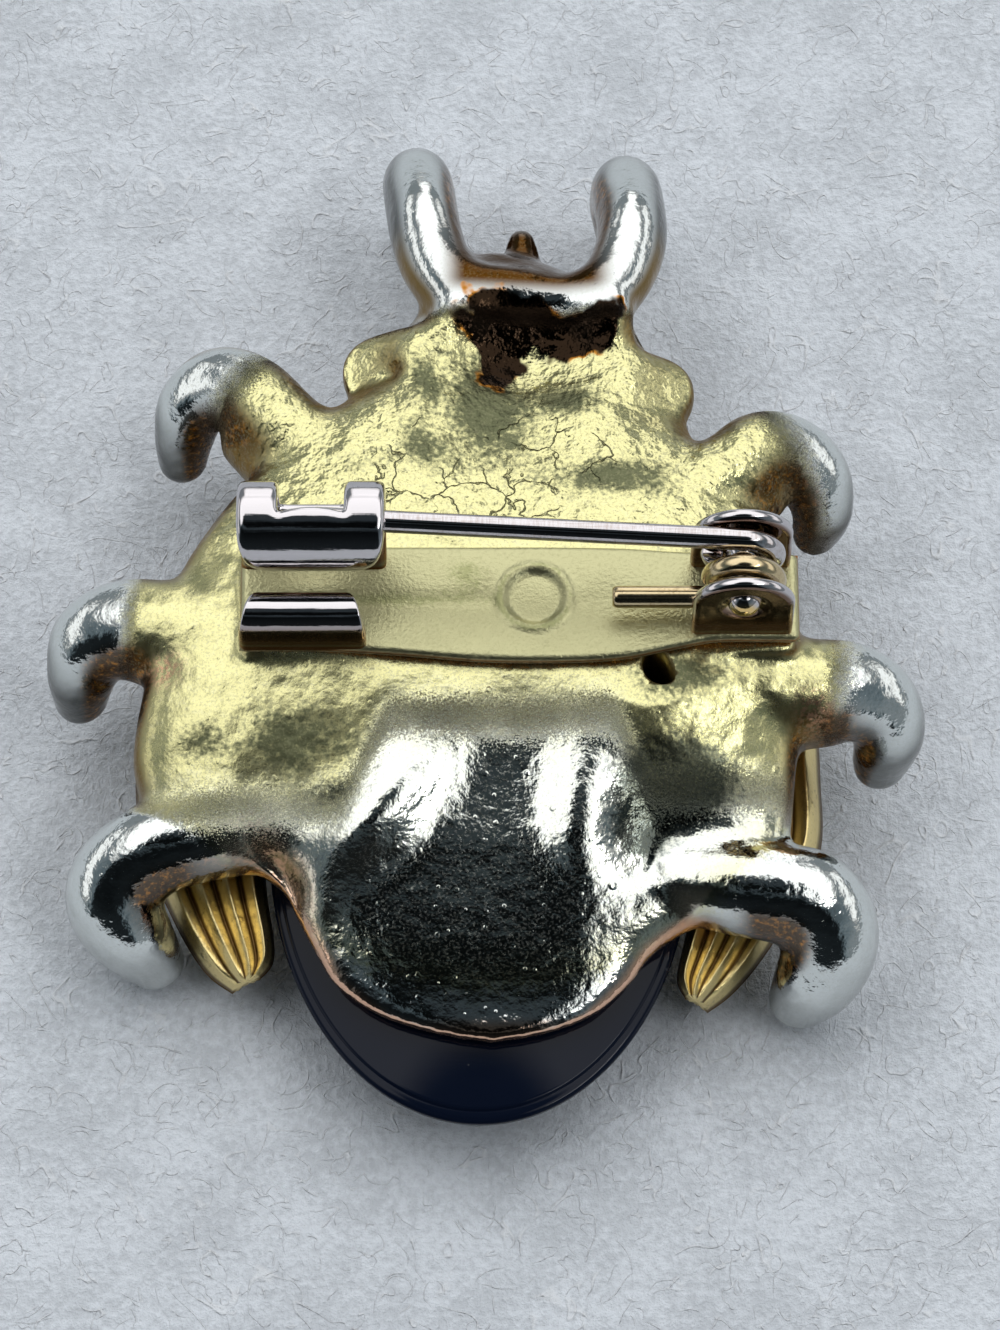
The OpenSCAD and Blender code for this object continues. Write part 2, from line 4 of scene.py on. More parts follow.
import bpy
import numpy as np
from bpy.props import FloatProperty, FloatVectorProperty, IntProperty, PointerProperty
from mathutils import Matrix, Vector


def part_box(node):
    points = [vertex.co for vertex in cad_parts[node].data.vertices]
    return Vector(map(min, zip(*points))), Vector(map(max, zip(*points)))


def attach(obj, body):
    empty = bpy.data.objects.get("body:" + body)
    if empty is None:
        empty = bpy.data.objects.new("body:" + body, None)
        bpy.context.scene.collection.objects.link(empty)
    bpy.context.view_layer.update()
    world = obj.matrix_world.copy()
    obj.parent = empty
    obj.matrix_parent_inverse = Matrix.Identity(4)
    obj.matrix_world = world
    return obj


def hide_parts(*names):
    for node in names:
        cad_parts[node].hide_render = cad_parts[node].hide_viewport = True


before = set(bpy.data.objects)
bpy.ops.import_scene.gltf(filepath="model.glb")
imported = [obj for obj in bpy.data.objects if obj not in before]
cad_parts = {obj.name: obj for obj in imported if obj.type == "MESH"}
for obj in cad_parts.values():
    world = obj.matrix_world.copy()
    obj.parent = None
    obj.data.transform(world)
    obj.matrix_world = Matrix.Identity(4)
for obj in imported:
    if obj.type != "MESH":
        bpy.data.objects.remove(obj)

bl_info = {
    "name": "Beetle Brooch Looks",
    "version": (1, 0, 0),
    "blender": (4, 5, 0),
    "location": "View3D > Sidebar > Brooch",
    "description": "Dresses a cast beetle brooch, seen from its back, with its wings, stone and pin finding",
    "category": "Object",
}

# Tables. In those of shares, across is a share of half the span, along of half
# the length, and height of how high the back lies over the table. The others say mm.

# Body sections from the neck to the lower edge: along, left edge, right edge, height of the back.
BODY = [
    (0.502, -0.148, 0.323, 0.84), (0.461, -0.218, 0.374, 0.87), (0.411, -0.288, 0.414, 0.91),
    (0.345, -0.379, 0.464, 0.95), (0.260, -0.489, 0.504, 0.98), (0.189, -0.569, 0.574, 1.00),
    (0.108, -0.639, 0.654, 1.00), (0.028, -0.694, 0.704, 1.00), (-0.073, -0.738, 0.714, 1.00),
    (-0.164, -0.758, 0.719, 1.00), (-0.264, -0.780, 0.714, 0.93), (-0.365, -0.785, 0.699, 0.78),
    (-0.456, -0.730, 0.689, 0.66), (-0.521, -0.564, 0.674, 0.58), (-0.577, -0.454, 0.644, 0.49),
    (-0.637, -0.414, 0.494, 0.39), (-0.698, -0.374, 0.379, 0.28), (-0.758, -0.328, 0.323, 0.16),
    (-0.814, -0.233, 0.243, 0.07), (-0.849, -0.108, 0.138, 0.03), (-0.865, 0.002, 0.033, 0.00),
]
# Limb sections from the body to the tip: across, along, height (1 is level with the back), thickness.
LEGS = {
    "front_left": [
        (-0.298, 0.209, 0.90, 1.00), (-0.449, 0.315, 0.88, 1.00), (-0.539, 0.403, 0.83, 0.95),
        (-0.614, 0.441, 0.73, 0.86), (-0.679, 0.426, 0.57, 0.76), (-0.703, 0.397, 0.38, 0.66),
        (-0.711, 0.373, 0.22, 0.54),
    ],
    "front_right": [
        (0.353, 0.139, 0.92, 1.00), (0.549, 0.223, 0.90, 0.94), (0.626, 0.282, 0.84, 0.92),
        (0.699, 0.292, 0.74, 0.90), (0.762, 0.268, 0.58, 0.80), (0.785, 0.229, 0.40, 0.66),
        (0.773, 0.212, 0.24, 0.50),
    ],
    "middle_left": [
        (-0.519, -0.123, 0.90, 1.20), (-0.699, -0.093, 0.88, 1.14), (-0.812, -0.073, 0.80, 1.06),
        (-0.888, -0.086, 0.66, 0.93), (-0.916, -0.117, 0.48, 0.76), (-0.927, -0.135, 0.24, 0.58),
    ],
    "middle_right": [
        (0.524, -0.204, 0.90, 1.20), (0.724, -0.209, 0.88, 1.14), (0.825, -0.201, 0.80, 1.06),
        (0.891, -0.218, 0.66, 0.90), (0.917, -0.250, 0.48, 0.76), (0.905, -0.270, 0.24, 0.58),
    ],
    "hind_left": [
        (-0.359, -0.426, 0.70, 1.00), (-0.529, -0.461, 0.70, 0.98), (-0.629, -0.478, 0.68, 0.94),
        (-0.735, -0.499, 0.64, 0.96), (-0.808, -0.531, 0.50, 1.00), (-0.832, -0.571, 0.36, 1.00),
        (-0.802, -0.612, 0.20, 0.90), (-0.750, -0.637, -0.02, 0.64),
    ],
    "hind_right": [
        (0.404, -0.536, 0.66, 1.00), (0.564, -0.577, 0.68, 1.00), (0.644, -0.585, 0.66, 1.02),
        (0.720, -0.595, 0.60, 1.06), (0.763, -0.627, 0.46, 1.06), (0.771, -0.663, 0.30, 1.00),
        (0.747, -0.698, 0.14, 0.88), (0.716, -0.713, -0.015, 0.66),
    ],
}
HORNS = {
    "left": [
        (0.203, 0.567, 0.90, 0.90), (0.093, 0.594, 0.93, 0.92), (-0.038, 0.604, 0.95, 1.00),
        (-0.102, 0.658, 0.92, 1.04), (-0.136, 0.748, 0.84, 1.06), (-0.156, 0.869, 0.72, 1.06),
        (-0.162, 0.921, 0.50, 1.02), (-0.162, 0.930, 0.22, 0.94), (-0.162, 0.932, -0.035, 0.74),
    ],
    "right": [
        (0.123, 0.567, 0.88, 0.90), (0.203, 0.579, 0.92, 0.94), (0.283, 0.615, 0.93, 1.00),
        (0.325, 0.675, 0.90, 1.02), (0.346, 0.758, 0.82, 1.04), (0.339, 0.864, 0.68, 1.04),
        (0.333, 0.908, 0.47, 1.02), (0.330, 0.917, 0.20, 0.94), (0.329, 0.919, -0.035, 0.74),
    ],
}
# Lumps drawn out between two balls: across, along and height as shares, and radius in mm, of each.
LUMPS = [
    (0.023, 0.627, 0.66, 2.1, 0.093, 0.612, 0.66, 2.1),
    (0.088, 0.683, 0.66, 1.0, 0.086, 0.761, 0.64, 0.6),
    (-0.238, 0.456, 0.70, 1.75, -0.168, 0.451, 0.76, 2.0),
    (0.394, 0.411, 0.70, 1.75, 0.343, 0.401, 0.76, 2.05),
    (-0.088, 0.557, 0.62, 1.6, -0.148, 0.481, 0.66, 1.6),
    (0.268, 0.547, 0.62, 1.6, 0.313, 0.451, 0.66, 1.6),
    (-0.038, 0.562, 0.86, 1.2, -0.088, 0.491, 0.82, 1.3),
    (0.283, 0.562, 0.86, 1.2, 0.273, 0.491, 0.82, 1.3),
    (-0.469, 0.250, 0.70, 1.4, -0.554, 0.320, 0.66, 1.1),
    (0.554, 0.149, 0.70, 1.4, 0.644, 0.209, 0.66, 1.1),
]
# Ovals: across, along and height as shares, and half sizes in mm.
OVALS = [(0.053, 0.280, 0.50, 7.4, 5.0, 4.1), (0.073, 0.562, 0.60, 4.2, 3.2, 3.4)]
# Places where limbs and head run into the body in wide fillets: across, along and height as shares,
# and reach in mm. The legs have theirs at their second row.
ROOTS = [
    (-0.06, 0.55, 0.80, 2.4), (0.27, 0.55, 0.80, 2.4), (0.10, 0.50, 0.90, 3.0),
    (-0.20, 0.45, 0.75, 2.2), (0.36, 0.41, 0.75, 2.2),
]
LEG_ROOT = (0.85, 3.2)
# Soft relief of the back: across and along in mm, half sizes across and along in mm, turn in
# degrees, height in mm (below zero is a dent).
RELIEF = [
    (1.9, 9.9, 3.2, 1.9, 0, -1.10),      # hollow behind the head's bar
    (1.3, 6.6, 4.4, 4.0, 0, -0.80),      # channel down the thorax
    (-4.7, 9.9, 1.5, 1.3, 35, -0.85),    # left eye
    (-3.9, 9.4, 0.5, 0.4, 20, -0.35),    # crater in it
    (7.1, 8.6, 1.4, 1.8, -20, -0.85),    # right eye
    (-2.5, 17.6, 1.6, 1.5, 0, 0.55),     # left horn's knob
    (6.1, 17.3, 1.6, 1.5, 0, 0.55),      # right horn's knob
    (4.0, -10.3, 1.4, 2.8, 0, 0.50),     # right ridge of the lower back
    (-4.3, -10.6, 3.9, 1.4, 48, 0.75),   # left ridge
    (7.4, -6.0, 3.0, 2.8, 0, 0.80),      # right shoulder
    (7.2, -11.4, 2.4, 1.8, 0, -0.50),    # fall below it
    (-8.3, -12.9, 0.8, 1.7, 28, -0.85),  # pressed curl beside the hind left leg
    (-7.6, -14.3, 0.45, 0.45, 0, 0.30),  # its tip
    (6.5, -12.6, 0.8, 0.6, 30, -0.15),   # nick over the hind right leg's root
]
# Middles of the hooks that the legs and horns bend round: across, along and reach in mm.
HOOKS = [
    (-10.8, 6.6, 4.2), (12.2, 3.4, 4.2), (-14.9, -4.6, 3.6), (14.3, -7.0, 3.6),
    (-13.2, -14.2, 4.4), (11.6, -15.6, 4.4), (2.2, 17.6, 5.2),
]
# Stains of the casting, the first a painted dark reflection down the middle of the thorax: across and along in
# mm, half sizes, turn in degrees, strength.
STAINS_AND_REFLECTIONS = [
    (0.2, 7.6, 1.7, 2.8, 10, 1.0), (5.0, 4.0, 2.6, 1.1, 0, 0.9), (-2.6, 5.6, 0.9, 1.6, 30, 0.6),
    (-7.4, -7.6, 2.4, 1.8, 0, 0.75), (8.2, -5.2, 2.2, 0.9, 10, 0.7), (6.8, -10.0, 2.6, 2.0, 20, 0.5),
    (-11.2, -7.4, 1.2, 1.0, 0, 0.6), (3.0, -4.6, 5.0, 0.5, 0, 0.35), (-4.4, 4.6, 1.6, 0.6, 15, 0.35),
    (-5.9, 8.2, 1.3, 0.6, 30, 0.9), (8.4, 7.4, 0.6, 1.7, -20, 0.9), (3.4, 8.0, 1.2, 0.8, 0, 0.8),
    (-2.5, 8.8, 0.6, 1.3, 20, 0.7),
]
# Painted dark reflections, black with painted orange glints at their edges, in the hollow behind the horns'
# bar: as the stains.
HEAD_DARK_REFLECTIONS = [
    (1.0, 11.7, 2.3, 1.2, -8, 1.0),
    (4.3, 11.2, 1.6, 0.9, 30, 1.0),
    (0.5, 10.0, 0.8, 1.5, 0, 0.9),
]
# Painted dark reflections on the lobes of the lower back, dark green-grey: as the stains.
LOBE_DARK_REFLECTIONS = [
    (7.6, -9.2, 2.7, 1.9, 8, 1.0),
    (6.2, -11.4, 1.2, 1.0, 0, 0.6),
    (-6.0, -9.6, 1.3, 0.9, 30, 0.5),
]
# Painted coppery glints, on the pressed curl and at the roots of the middle legs: as the stains.
GLINTS = [
    (-8.4, -12.9, 1.0, 1.8, 28, 1.0),
    (-12.9, -4.3, 0.6, 0.6, 0, 1.3),
    (13.3, -6.0, 0.6, 0.5, 0, 1.3),
]
# Stains of the plate, from its middle, the first a painted reflection of the pin's wire along the plate: as the
# stains.
PLATE_STAINS_AND_REFLECTION = [
    (-5.2, -0.15, 4.4, 0.42, 0, 0.8), (-2.2, 1.0, 0.8, 0.7, 0, 0.8), (-8.0, -0.1, 1.4, 0.35, 0, 0.5),
]
# Plate outline: along as a share of its length, upper edge, lower edge as shares of its width.
PLATE_EDGE = [
    (-0.50, 0.48, -0.50), (-0.36, 0.50, -0.50), (-0.22, 0.50, -0.54), (-0.08, 0.50, -0.60),
    (0.06, 0.50, -0.615), (0.18, 0.49, -0.58), (0.27, 0.46, -0.49), (0.34, 0.44, -0.42),
    (0.42, 0.43, -0.41), (0.50, 0.43, -0.41),
]
# Wing sections from shoulder to tip, by side (-1 is left): along, outer edge, room beyond the
# stone's side, height under the casting.
WINGS = {
    -1: [
        (0.083, 0.489, 0.110, 0.96), (0.053, 0.599, 0.070, 0.98), (-0.033, 0.699, 0.040, 1.00),
        (-0.154, 0.780, 0.020, 1.00), (-0.295, 0.800, 0.010, 1.00), (-0.436, 0.775, 0.005, 0.99),
        (-0.557, 0.712, 0.005, 0.96), (-0.632, 0.663, 0.008, 0.92), (-0.678, 0.619, 0.025, 0.87),
        (-0.707, 0.569, 0.065, 0.83),
    ],
    1: [
        (0.083, 0.494, 0.110, 0.96), (0.053, 0.604, 0.070, 0.98), (-0.033, 0.694, 0.040, 1.00),
        (-0.154, 0.760, 0.020, 1.00), (-0.295, 0.771, 0.010, 1.00), (-0.436, 0.765, 0.005, 0.99),
        (-0.567, 0.687, 0.005, 0.96), (-0.652, 0.622, 0.005, 0.92), (-0.711, 0.559, 0.015, 0.87),
        (-0.745, 0.504, 0.050, 0.83),
    ],
}
# Low windows of the studio: middle and half width round the sky, upper and lower edge from the top,
# all in degrees, and strength.
WINDOWS = [
    (-80.0, 34.0, 66.0, 80.0, 0.9), (75.0, 30.0, 64.0, 80.0, 0.9),
    (4.0, 13.0, 56.0, 84.0, 1.3), (118.0, 22.0, 36.0, 39.0, 9.0),
]

# Places and gaps in mm that have no slider of their own.
STONE_X = -0.16
EAR_Y = 0.1
SOLDER_GAP = 0.05
TURN_GAP = 0.15
# Angles of the catch's curl: where it leaves the wall, its notch's low and high edge, and its end.
CATCH_FOOT, NOTCH_LOW, NOTCH_HIGH, CATCH_END = -35, -30, 96, 218
# Rounded end corners of the catch and of the flange: half sizes across and down in mm.
CATCH_CORNER, FLANGE_CORNER = (1.7, 2.6), (1.7, 2.9)
# The pressed ring's place, as a share of the plate's length from its middle.
RING_ALONG = 0.027
# Steps across a wing, and the squares in metres that the catch's skin is made of.
WING_STEPS = 140
CATCH_GRAIN = 0.00007
# The stage: half width of the floor in metres, and the camera's height in degrees, its distance in
# metres, and the place in mm that it looks at.
FLOOR_REACH = 0.6
CAMERA_LIFT = 65
CAMERA_AWAY = 0.200
CAMERA_AIM = (0.645, -5.00119, 10.55)

Levels = namedtuple("Levels", "half_w half_l under back")
Places = namedtuple("Places", "middle coil turn_y catch_y catch_z")


def length(name, default, text):
    """A size in metres that the sidebar shows as a distance."""
    return FloatProperty(
        name=name, description=text, default=default, min=0.0, unit="LENGTH", subtype="DISTANCE", precision=5
    )


def share(name, default, text):
    """A share from 0 to 1."""
    return FloatProperty(name=name, description=text, default=default, min=0.0, max=1.0, subtype="FACTOR")


def tint(name, default, text):
    """A colour."""
    return FloatVectorProperty(
        name=name, description=text, default=default, size=3, min=0.0, max=1.0, subtype="COLOR"
    )


class CastingSizes(bpy.types.PropertyGroup):
    span: length("Span", 0.0361, "Width over the middle legs")
    length: length("Length", 0.04406, "Length from the horn tips to the end of the stone")
    body_t: length("Body depth", 0.0051, "Depth of the cast back over the stone")
    rim_t: length("Rim", 0.0006, "Thickness of the cast edge")
    leg_d: length("Leg", 0.0039, "Thickness of a leg at the body")
    horn_d: length("Horn", 0.0029, "Thickness of a horn at the head")
    limb_depth: FloatProperty(
        name="Limb depth", description="Depth of a limb as a share of its thickness", default=1.12
    )
    swell_pitch: length("Swell pitch", 0.0070, "Distance between the soft swells of the lower back")
    swell_h: length("Swell height", 0.0001, "Height of a swell from trough to crest")
    hole_d: length("Hole", 0.0013, "Diameter of the casting hole beside the finding")
    grain: length("Grain", 0.000185, "Size of the squares that the casting's skin is made of")


class StoneSizes(bpy.types.PropertyGroup):
    width: length("Width", 0.0172, "Width of the stone")
    long: length("Length", 0.0244, "Length of the stone")
    height: length("Height", 0.0048, "Height of the stone")
    bevel: length("Bevel", 0.0005, "Height of the bevel round its back")
    gap: length("Gap", 0.0001, "Gap between the stone and the casting")
    wing_t: length("Wing thickness", 0.0009, "Thickness of a wing")
    wing_gap: length("Wing gap", 0.00012, "Gap between a wing and what it lies against")
    flute_h: length("Flute height", 0.0006, "Height of a flute from valley to ridge")
    flutes: IntProperty(name="Flutes", description="Number of flutes across a wing", default=4, min=3, max=9)


class FindingSizes(bpy.types.PropertyGroup):
    long: length("Length", 0.0225, "Length of the plate")
    width: length("Width", 0.0046, "Width of the plate")
    sheet_t: length("Sheet", 0.00055, "Thickness of the stamped sheet")
    across: length("Across", 0.00144, "How far its middle lies to the right")
    down: length("Down", 0.00198, "How far its middle line lies below the brooch's")
    ring_d: length("Ring", 0.0030, "Diameter of the pressed ring")
    wire_d: length("Wire", 0.0009, "Diameter of the wire")
    coil_d: length("Coil", 0.0025, "Diameter of the coil to the middle of its wire")
    coil_up: length("Coil height", 0.00245, "Height of the coil's axis over the plate")
    coil_in: length("Coil inset", 0.00235, "Distance of the coil's axis from the plate's end")
    stem_l: length("Stem", 0.0194, "Length of the stem")
    point_l: length("Point", 0.0024, "Length of the stem's point")
    lean: FloatProperty(
        name="Lean", description="Angle at which the stem leans", default=math.radians(3.2), subtype="ANGLE"
    )
    tail_l: length("Tail", 0.0052, "Length of the coil's loose tail")
    ear_gap: length("Ear gap", 0.00245, "Clear width between the ears")
    catch_l: length("Catch", 0.0059, "Length of the catch")
    catch_d: length("Catch curl", 0.0036, "Outer diameter of the catch's curl")
    notch: share("Notch", 0.44, "Width of the catch's notch as a share of its length")
    flange_h: length("Flange height", 0.0022, "Height of the low flange")
    flange_l: length("Flange length", 0.0051, "Length of the low flange")


class Finishes(bpy.types.PropertyGroup):
    gold: tint("Pale gold", (0.72, 0.68, 0.34), "Gold plating of the casting")
    bright: tint("Bright metal", (0.76, 0.79, 0.77), "Polished, worn plating of the legs and horns")
    copper: tint("Copper edge", (0.80, 0.45, 0.28), "Copper that shows along the rim")
    tarnish: tint("Tarnish", (0.11, 0.12, 0.065), "Green-grey tarnish")
    # Amber: partly the plating's own tone inside the bends, partly painted shade and light bounced between the
    # casting's faces; it is also the base of the painted glints and shade between the horns.
    amber: tint("Amber", (0.42, 0.17, 0.02), "Deep amber plating inside the bends")
    # The next two colours are painted shade on the steep sides, standing in for the shadowed floor beside the
    # brooch; the grey is partly the limbs' own dull metal.
    side_shade_brown: tint("Flank", (0.22, 0.14, 0.045), "Brown plating of the casting's sides")
    limb_side_shade: tint("Dull metal", (0.56, 0.58, 0.57), "Grey metal on the outer sides of the limbs")
    wing: tint("Wing gold", (0.92, 0.74, 0.34), "Warmer gold of the wings")
    plate: tint("Plate", (0.50, 0.48, 0.27), "Yellowed metal of the plate")
    steel: tint("Steel", (0.62, 0.59, 0.60), "Bright wire and curl of the catch")
    stone: tint("Stone", (0.004, 0.007, 0.018), "Blue-black stone")
    floor: tint("Floor", (0.74, 0.78, 0.83), "Pale felt floor")
    satin: share("Satin", 0.25, "Roughness of the frosted areas")
    polish: share("Polish", 0.06, "Roughness of the polished areas")


def mm(value):
    """Metres as millimetres."""
    return value * 1000.0


def step(x, a, b):
    """Smooth step: 0 before a, 1 after b, with a level start and end."""
    t = np.clip((x - a) / (b - a), 0.0, 1.0)
    return t * t * (3.0 - 2.0 * t)


def read_rows(rows, count):
    """A table read at evenly spread places from its first row to its last: each column follows the
    smooth cubic through the rows, with the slope at a row half the step between its neighbours."""
    rows = np.asarray(rows, float)
    last = len(rows) - 1
    t = np.linspace(0, last, count)
    i = np.clip(np.floor(t).astype(int), 0, last - 1)
    f = (t - i)[:, None]
    p0, p1, p2, p3 = rows[np.maximum(i - 1, 0)], rows[i], rows[i + 1], rows[np.minimum(i + 2, last)]
    return 0.5 * (
        2 * p1 + (p2 - p0) * f + (2 * p0 - 5 * p1 + 4 * p2 - p3) * f**2 + (3 * p1 - p0 - 3 * p2 + p3) * f**3
    )


def unit(v):
    """Vectors brought to length 1."""
    return v / np.maximum(np.linalg.norm(v, axis=-1, keepdims=True), 1e-12)


def turns(count):
    """Angles once round, without the last, which is the first again."""
    return np.linspace(0, 2 * np.pi, count, endpoint=False)


def carried(path, across, over, wide, deep, sides):
    """A closed profile carried along a path: at each place, centre + across * wide * cos(a) +
    over * deep * sin(a), with a going once round."""
    a = turns(sides)
    return (
        path[:, None, :]
        + across[:, None, :] * (wide[:, None] * np.cos(a))[..., None]
        + over[:, None, :] * (deep[:, None] * np.sin(a))[..., None]
    )


def ball_between(a, ra, b, rb, sides=40, rows=28, squeeze=(1.0, 1.0, 1.0)):
    """A ball drawn out between two places: latitude rings whose centre and radius slide from the
    first ball to the second as the latitude crosses its middle."""
    a, b = np.asarray(a, float), np.asarray(b, float)
    axis = unit(b - a) if np.linalg.norm(b - a) > 1e-6 else np.array([0.0, 0.0, 1.0])
    side = unit(np.cross(axis, [0.3, 0.5, 0.8]))
    lat = np.linspace(-np.pi / 2 + 0.02, np.pi / 2 - 0.02, rows)
    s = step(lat, -0.25, 0.25)
    r = ra + (rb - ra) * s
    path = a + (b - a) * s[:, None] + axis * (r * np.sin(lat))[:, None]
    wide = r * np.cos(lat)
    rings = carried(path, np.tile(side, (rows, 1)), np.tile(np.cross(axis, side), (rows, 1)), wide, wide, sides)
    middle = (a + b) / 2
    return middle + (rings - middle) * np.asarray(squeeze)


def skin(rings):
    """Points and faces of a closed skin from an array of rings, ring by ring and point by point:
    rings are joined by squares, and each end is closed by a fan round its middle."""
    n, m = rings.shape[:2]
    i = np.arange(n * m).reshape(n, m)
    j = np.roll(i, -1, axis=1)
    faces = np.stack([i[:-1], j[:-1], j[1:], i[1:]], -1).reshape(-1, 4).tolist()
    faces += np.stack([j[0], i[0], np.full(m, n * m)], -1).tolist()
    faces += np.stack([i[-1], j[-1], np.full(m, n * m + 1)], -1).tolist()
    return np.concatenate([rings.reshape(-1, 3), rings[:1].mean(1), rings[-1:].mean(1)]), faces


def turned_out(points, faces):
    """Faces in the order that points them outwards: turned round where the volume that the fan of
    triangles over each face sums to is below zero."""
    tri = np.array([(f[0], f[k], f[k + 1]) for f in faces for k in range(1, len(f) - 1)])
    a, b, c = points[tri[:, 0]], points[tri[:, 1]], points[tri[:, 2]]
    return faces if np.einsum("ij,ij->i", a, np.cross(b, c)).sum() > 0 else [f[::-1] for f in faces]


def new_piece(name, parts):
    """A mesh object made of closed skins given in mm, as rings or as points and faces, placed by
    its own points."""
    points, faces, start = [], [], 0
    for part in parts:
        p, f = skin(part) if isinstance(part, np.ndarray) else part
        points.append(p)
        faces += [[k + start for k in face] for face in turned_out(p, f)]
        start += len(p)
    mesh = bpy.data.meshes.new(name)
    mesh.from_pydata((np.concatenate(points) * 0.001).tolist(), [], faces)
    mesh.update()
    piece = bpy.data.objects.new(name, mesh)
    bpy.context.scene.collection.objects.link(piece)
    return piece


def points_of(piece):
    """The piece's points, in mm."""
    co = np.empty(len(piece.data.vertices) * 3, np.float32)
    piece.data.vertices.foreach_get("co", co)
    return co.reshape(-1, 3).astype(float) * 1000.0


def set_points(piece, points):
    """Puts points in mm back into the piece."""
    piece.data.vertices.foreach_set("co", (points * 0.001).astype(np.float32).ravel())
    piece.data.update()


def normals_of(piece):
    """The piece's point normals."""
    no = np.empty(len(piece.data.vertices) * 3, np.float32)
    piece.data.vertex_normals.foreach_get("vector", no)
    return no.reshape(-1, 3).astype(float)


def mark(piece, **layers):
    """Keeps values from 0 to 1 at each point, by name, for a material to read."""
    for name, values in layers.items():
        layer = piece.data.attributes.new(name, "FLOAT", "POINT")
        layer.data.foreach_set("value", np.clip(values, 0, 1).astype(np.float32))


def fuse(piece, size):
    """One even skin over all of the piece's closed skins, made of squares of that size."""
    bpy.ops.object.select_all(action="DESELECT")
    bpy.context.view_layer.objects.active = piece
    piece.select_set(True)
    piece.data.remesh_voxel_size = size
    piece.data.use_remesh_fix_poles = False
    piece.data.use_remesh_preserve_volume = False
    bpy.ops.object.voxel_remesh()


def relax(piece, rounds, amount):
    """Evens out a skin: in each round a point moves half its own amount of the way to the mean of
    its neighbours."""
    mesh = piece.data
    edge = np.empty(len(mesh.edges) * 2, np.int32)
    mesh.edges.foreach_get("vertices", edge)
    a, b = edge.reshape(-1, 2).T
    co = points_of(piece)
    count = np.bincount(a, minlength=len(co)) + np.bincount(b, minlength=len(co))
    for _ in range(rounds):
        mean = np.stack([
            np.bincount(a, co[b, c], len(co)) + np.bincount(b, co[a, c], len(co)) for c in range(3)
        ], -1) / count[:, None]
        co = co + (mean - co) * (0.5 * amount)[:, None]
    set_points(piece, co)


def finished(piece, material, slot_name, body, *nodes):
    """Gives a piece its material, its smooth shading and its place in the frame."""
    piece.data.materials.clear()
    piece.data.materials.append(material)
    piece.data.polygons.foreach_set("use_smooth", np.ones(len(piece.data.polygons), bool))
    piece.data.update()
    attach(piece, body)
    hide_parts(*nodes)


def bells(table, x, y):
    """Sum of soft bells: last column * exp(-(p / half size)^2 - (q / half size)^2), where p and q
    run along each bell's own turned axes."""
    t = np.array(table, float)
    turn = np.radians(t[:, 4])
    dx, dy = x[:, None] - t[:, 0], y[:, None] - t[:, 1]
    p = (dx * np.cos(turn) + dy * np.sin(turn)) / t[:, 2]
    q = (-dx * np.sin(turn) + dy * np.cos(turn)) / t[:, 3]
    return (t[:, 5] * np.exp(-(p**2) - q**2)).sum(1)


# ---- the casting


def levels(scene):
    """Sizes that the pieces share, in mm: half width, half length, stone's back, body's back."""
    c, s = scene.brooch_casting, scene.brooch_stone
    under = mm(s.height + s.gap)
    return Levels(mm(c.span) / 2, mm(c.length) / 2, under, under + mm(c.body_t))


def spot(scene, across, along, up):
    """A place given by shares, in mm."""
    size = levels(scene)
    return np.array([across * size.half_w, along * size.half_l, up * size.back])


def near(scene, co, across, along, up, reach):
    """A bell round a place given by shares: 1 at the place, fading over reach mm."""
    return np.exp(-(np.linalg.norm(co - spot(scene, across, along, up), axis=1) / reach) ** 2)


def swells(scene, x, y):
    """Soft swells of the lower back: a cosine across, faded in below the finding and out at the
    rim, with its troughs where the middle and the sides of the back lie."""
    c = scene.brooch_casting
    along = y / levels(scene).half_l
    fade = np.clip((-along - 0.19) / 0.15, 0, 1) * np.clip((0.80 + along) / 0.36, 0, 1)
    return -mm(c.swell_h) / 2 * fade * np.cos(2 * np.pi * (x - 0.4) / mm(c.swell_pitch))


def body_rings(scene):
    """Body sections: a crown (1 - |u|^3)^(1/3) over the waist and a flatter (1 - u^6)^0.17 under it,
    where u runs across as a sine."""
    c, size = scene.brooch_casting, levels(scene)
    row = read_rows(BODY, 200)
    y = (row[:, 0] * size.half_l)[:, None]
    x0, x1 = row[:, 1] * size.half_w, row[:, 2] * size.half_w
    mid, reach = ((x0 + x1) / 2)[:, None], np.maximum((x1 - x0) / 2, 0.2)[:, None]
    high = (size.under + mm(c.rim_t) + np.maximum(row[:, 3], 0) * mm(c.body_t - c.rim_t))[:, None]
    waist = size.under + 0.35 * (high - size.under)
    u = np.sin(np.pi / 2 * np.linspace(-1, 1, 90))[None, :]
    v = np.sin(np.pi / 2 * np.linspace(1, -1, 40)[1:-1])[None, :]
    x = mid + reach * u
    top = waist + (high - waist + swells(scene, x, y)) * (1 - np.abs(u) ** 3) ** (1 / 3)
    low = waist - (waist - size.under) * (1 - np.abs(v) ** 6) ** 0.17
    x = np.concatenate([x, mid + reach * v], 1)
    return np.stack([x, np.broadcast_to(y, x.shape), np.concatenate([top, low], 1)], -1)


def limb_rings(scene, rows, thick):
    """A leg or horn: ovals square to a smooth curve through the table's places, closed by a round
    tip."""
    depth, size = scene.brooch_casting.limb_depth, levels(scene)
    row = read_rows(rows, 14 * len(rows))
    half = row[:, 3] * thick / 2
    deep = half * depth
    up = deep + row[:, 2] * (size.back - 2 * deep)
    path = np.stack([row[:, 0] * size.half_w, row[:, 1] * size.half_l, up], -1)
    way = unit(np.gradient(path, axis=0))
    across = unit(np.stack([way[:, 1], -way[:, 0], np.zeros(len(way))], -1))
    a = np.radians(np.linspace(6, 86, 14))
    path = np.concatenate([path, path[-1] + way[-1] * (0.85 * half[-1] * np.sin(a))[:, None]])
    half = np.concatenate([half, half[-1] * np.cos(a)])
    way = np.concatenate([way, np.tile(way[-1], (len(a), 1))])
    across = np.concatenate([across, np.tile(across[-1], (len(a), 1))])
    return carried(path, across, np.cross(across, way), half, half * depth, 40)


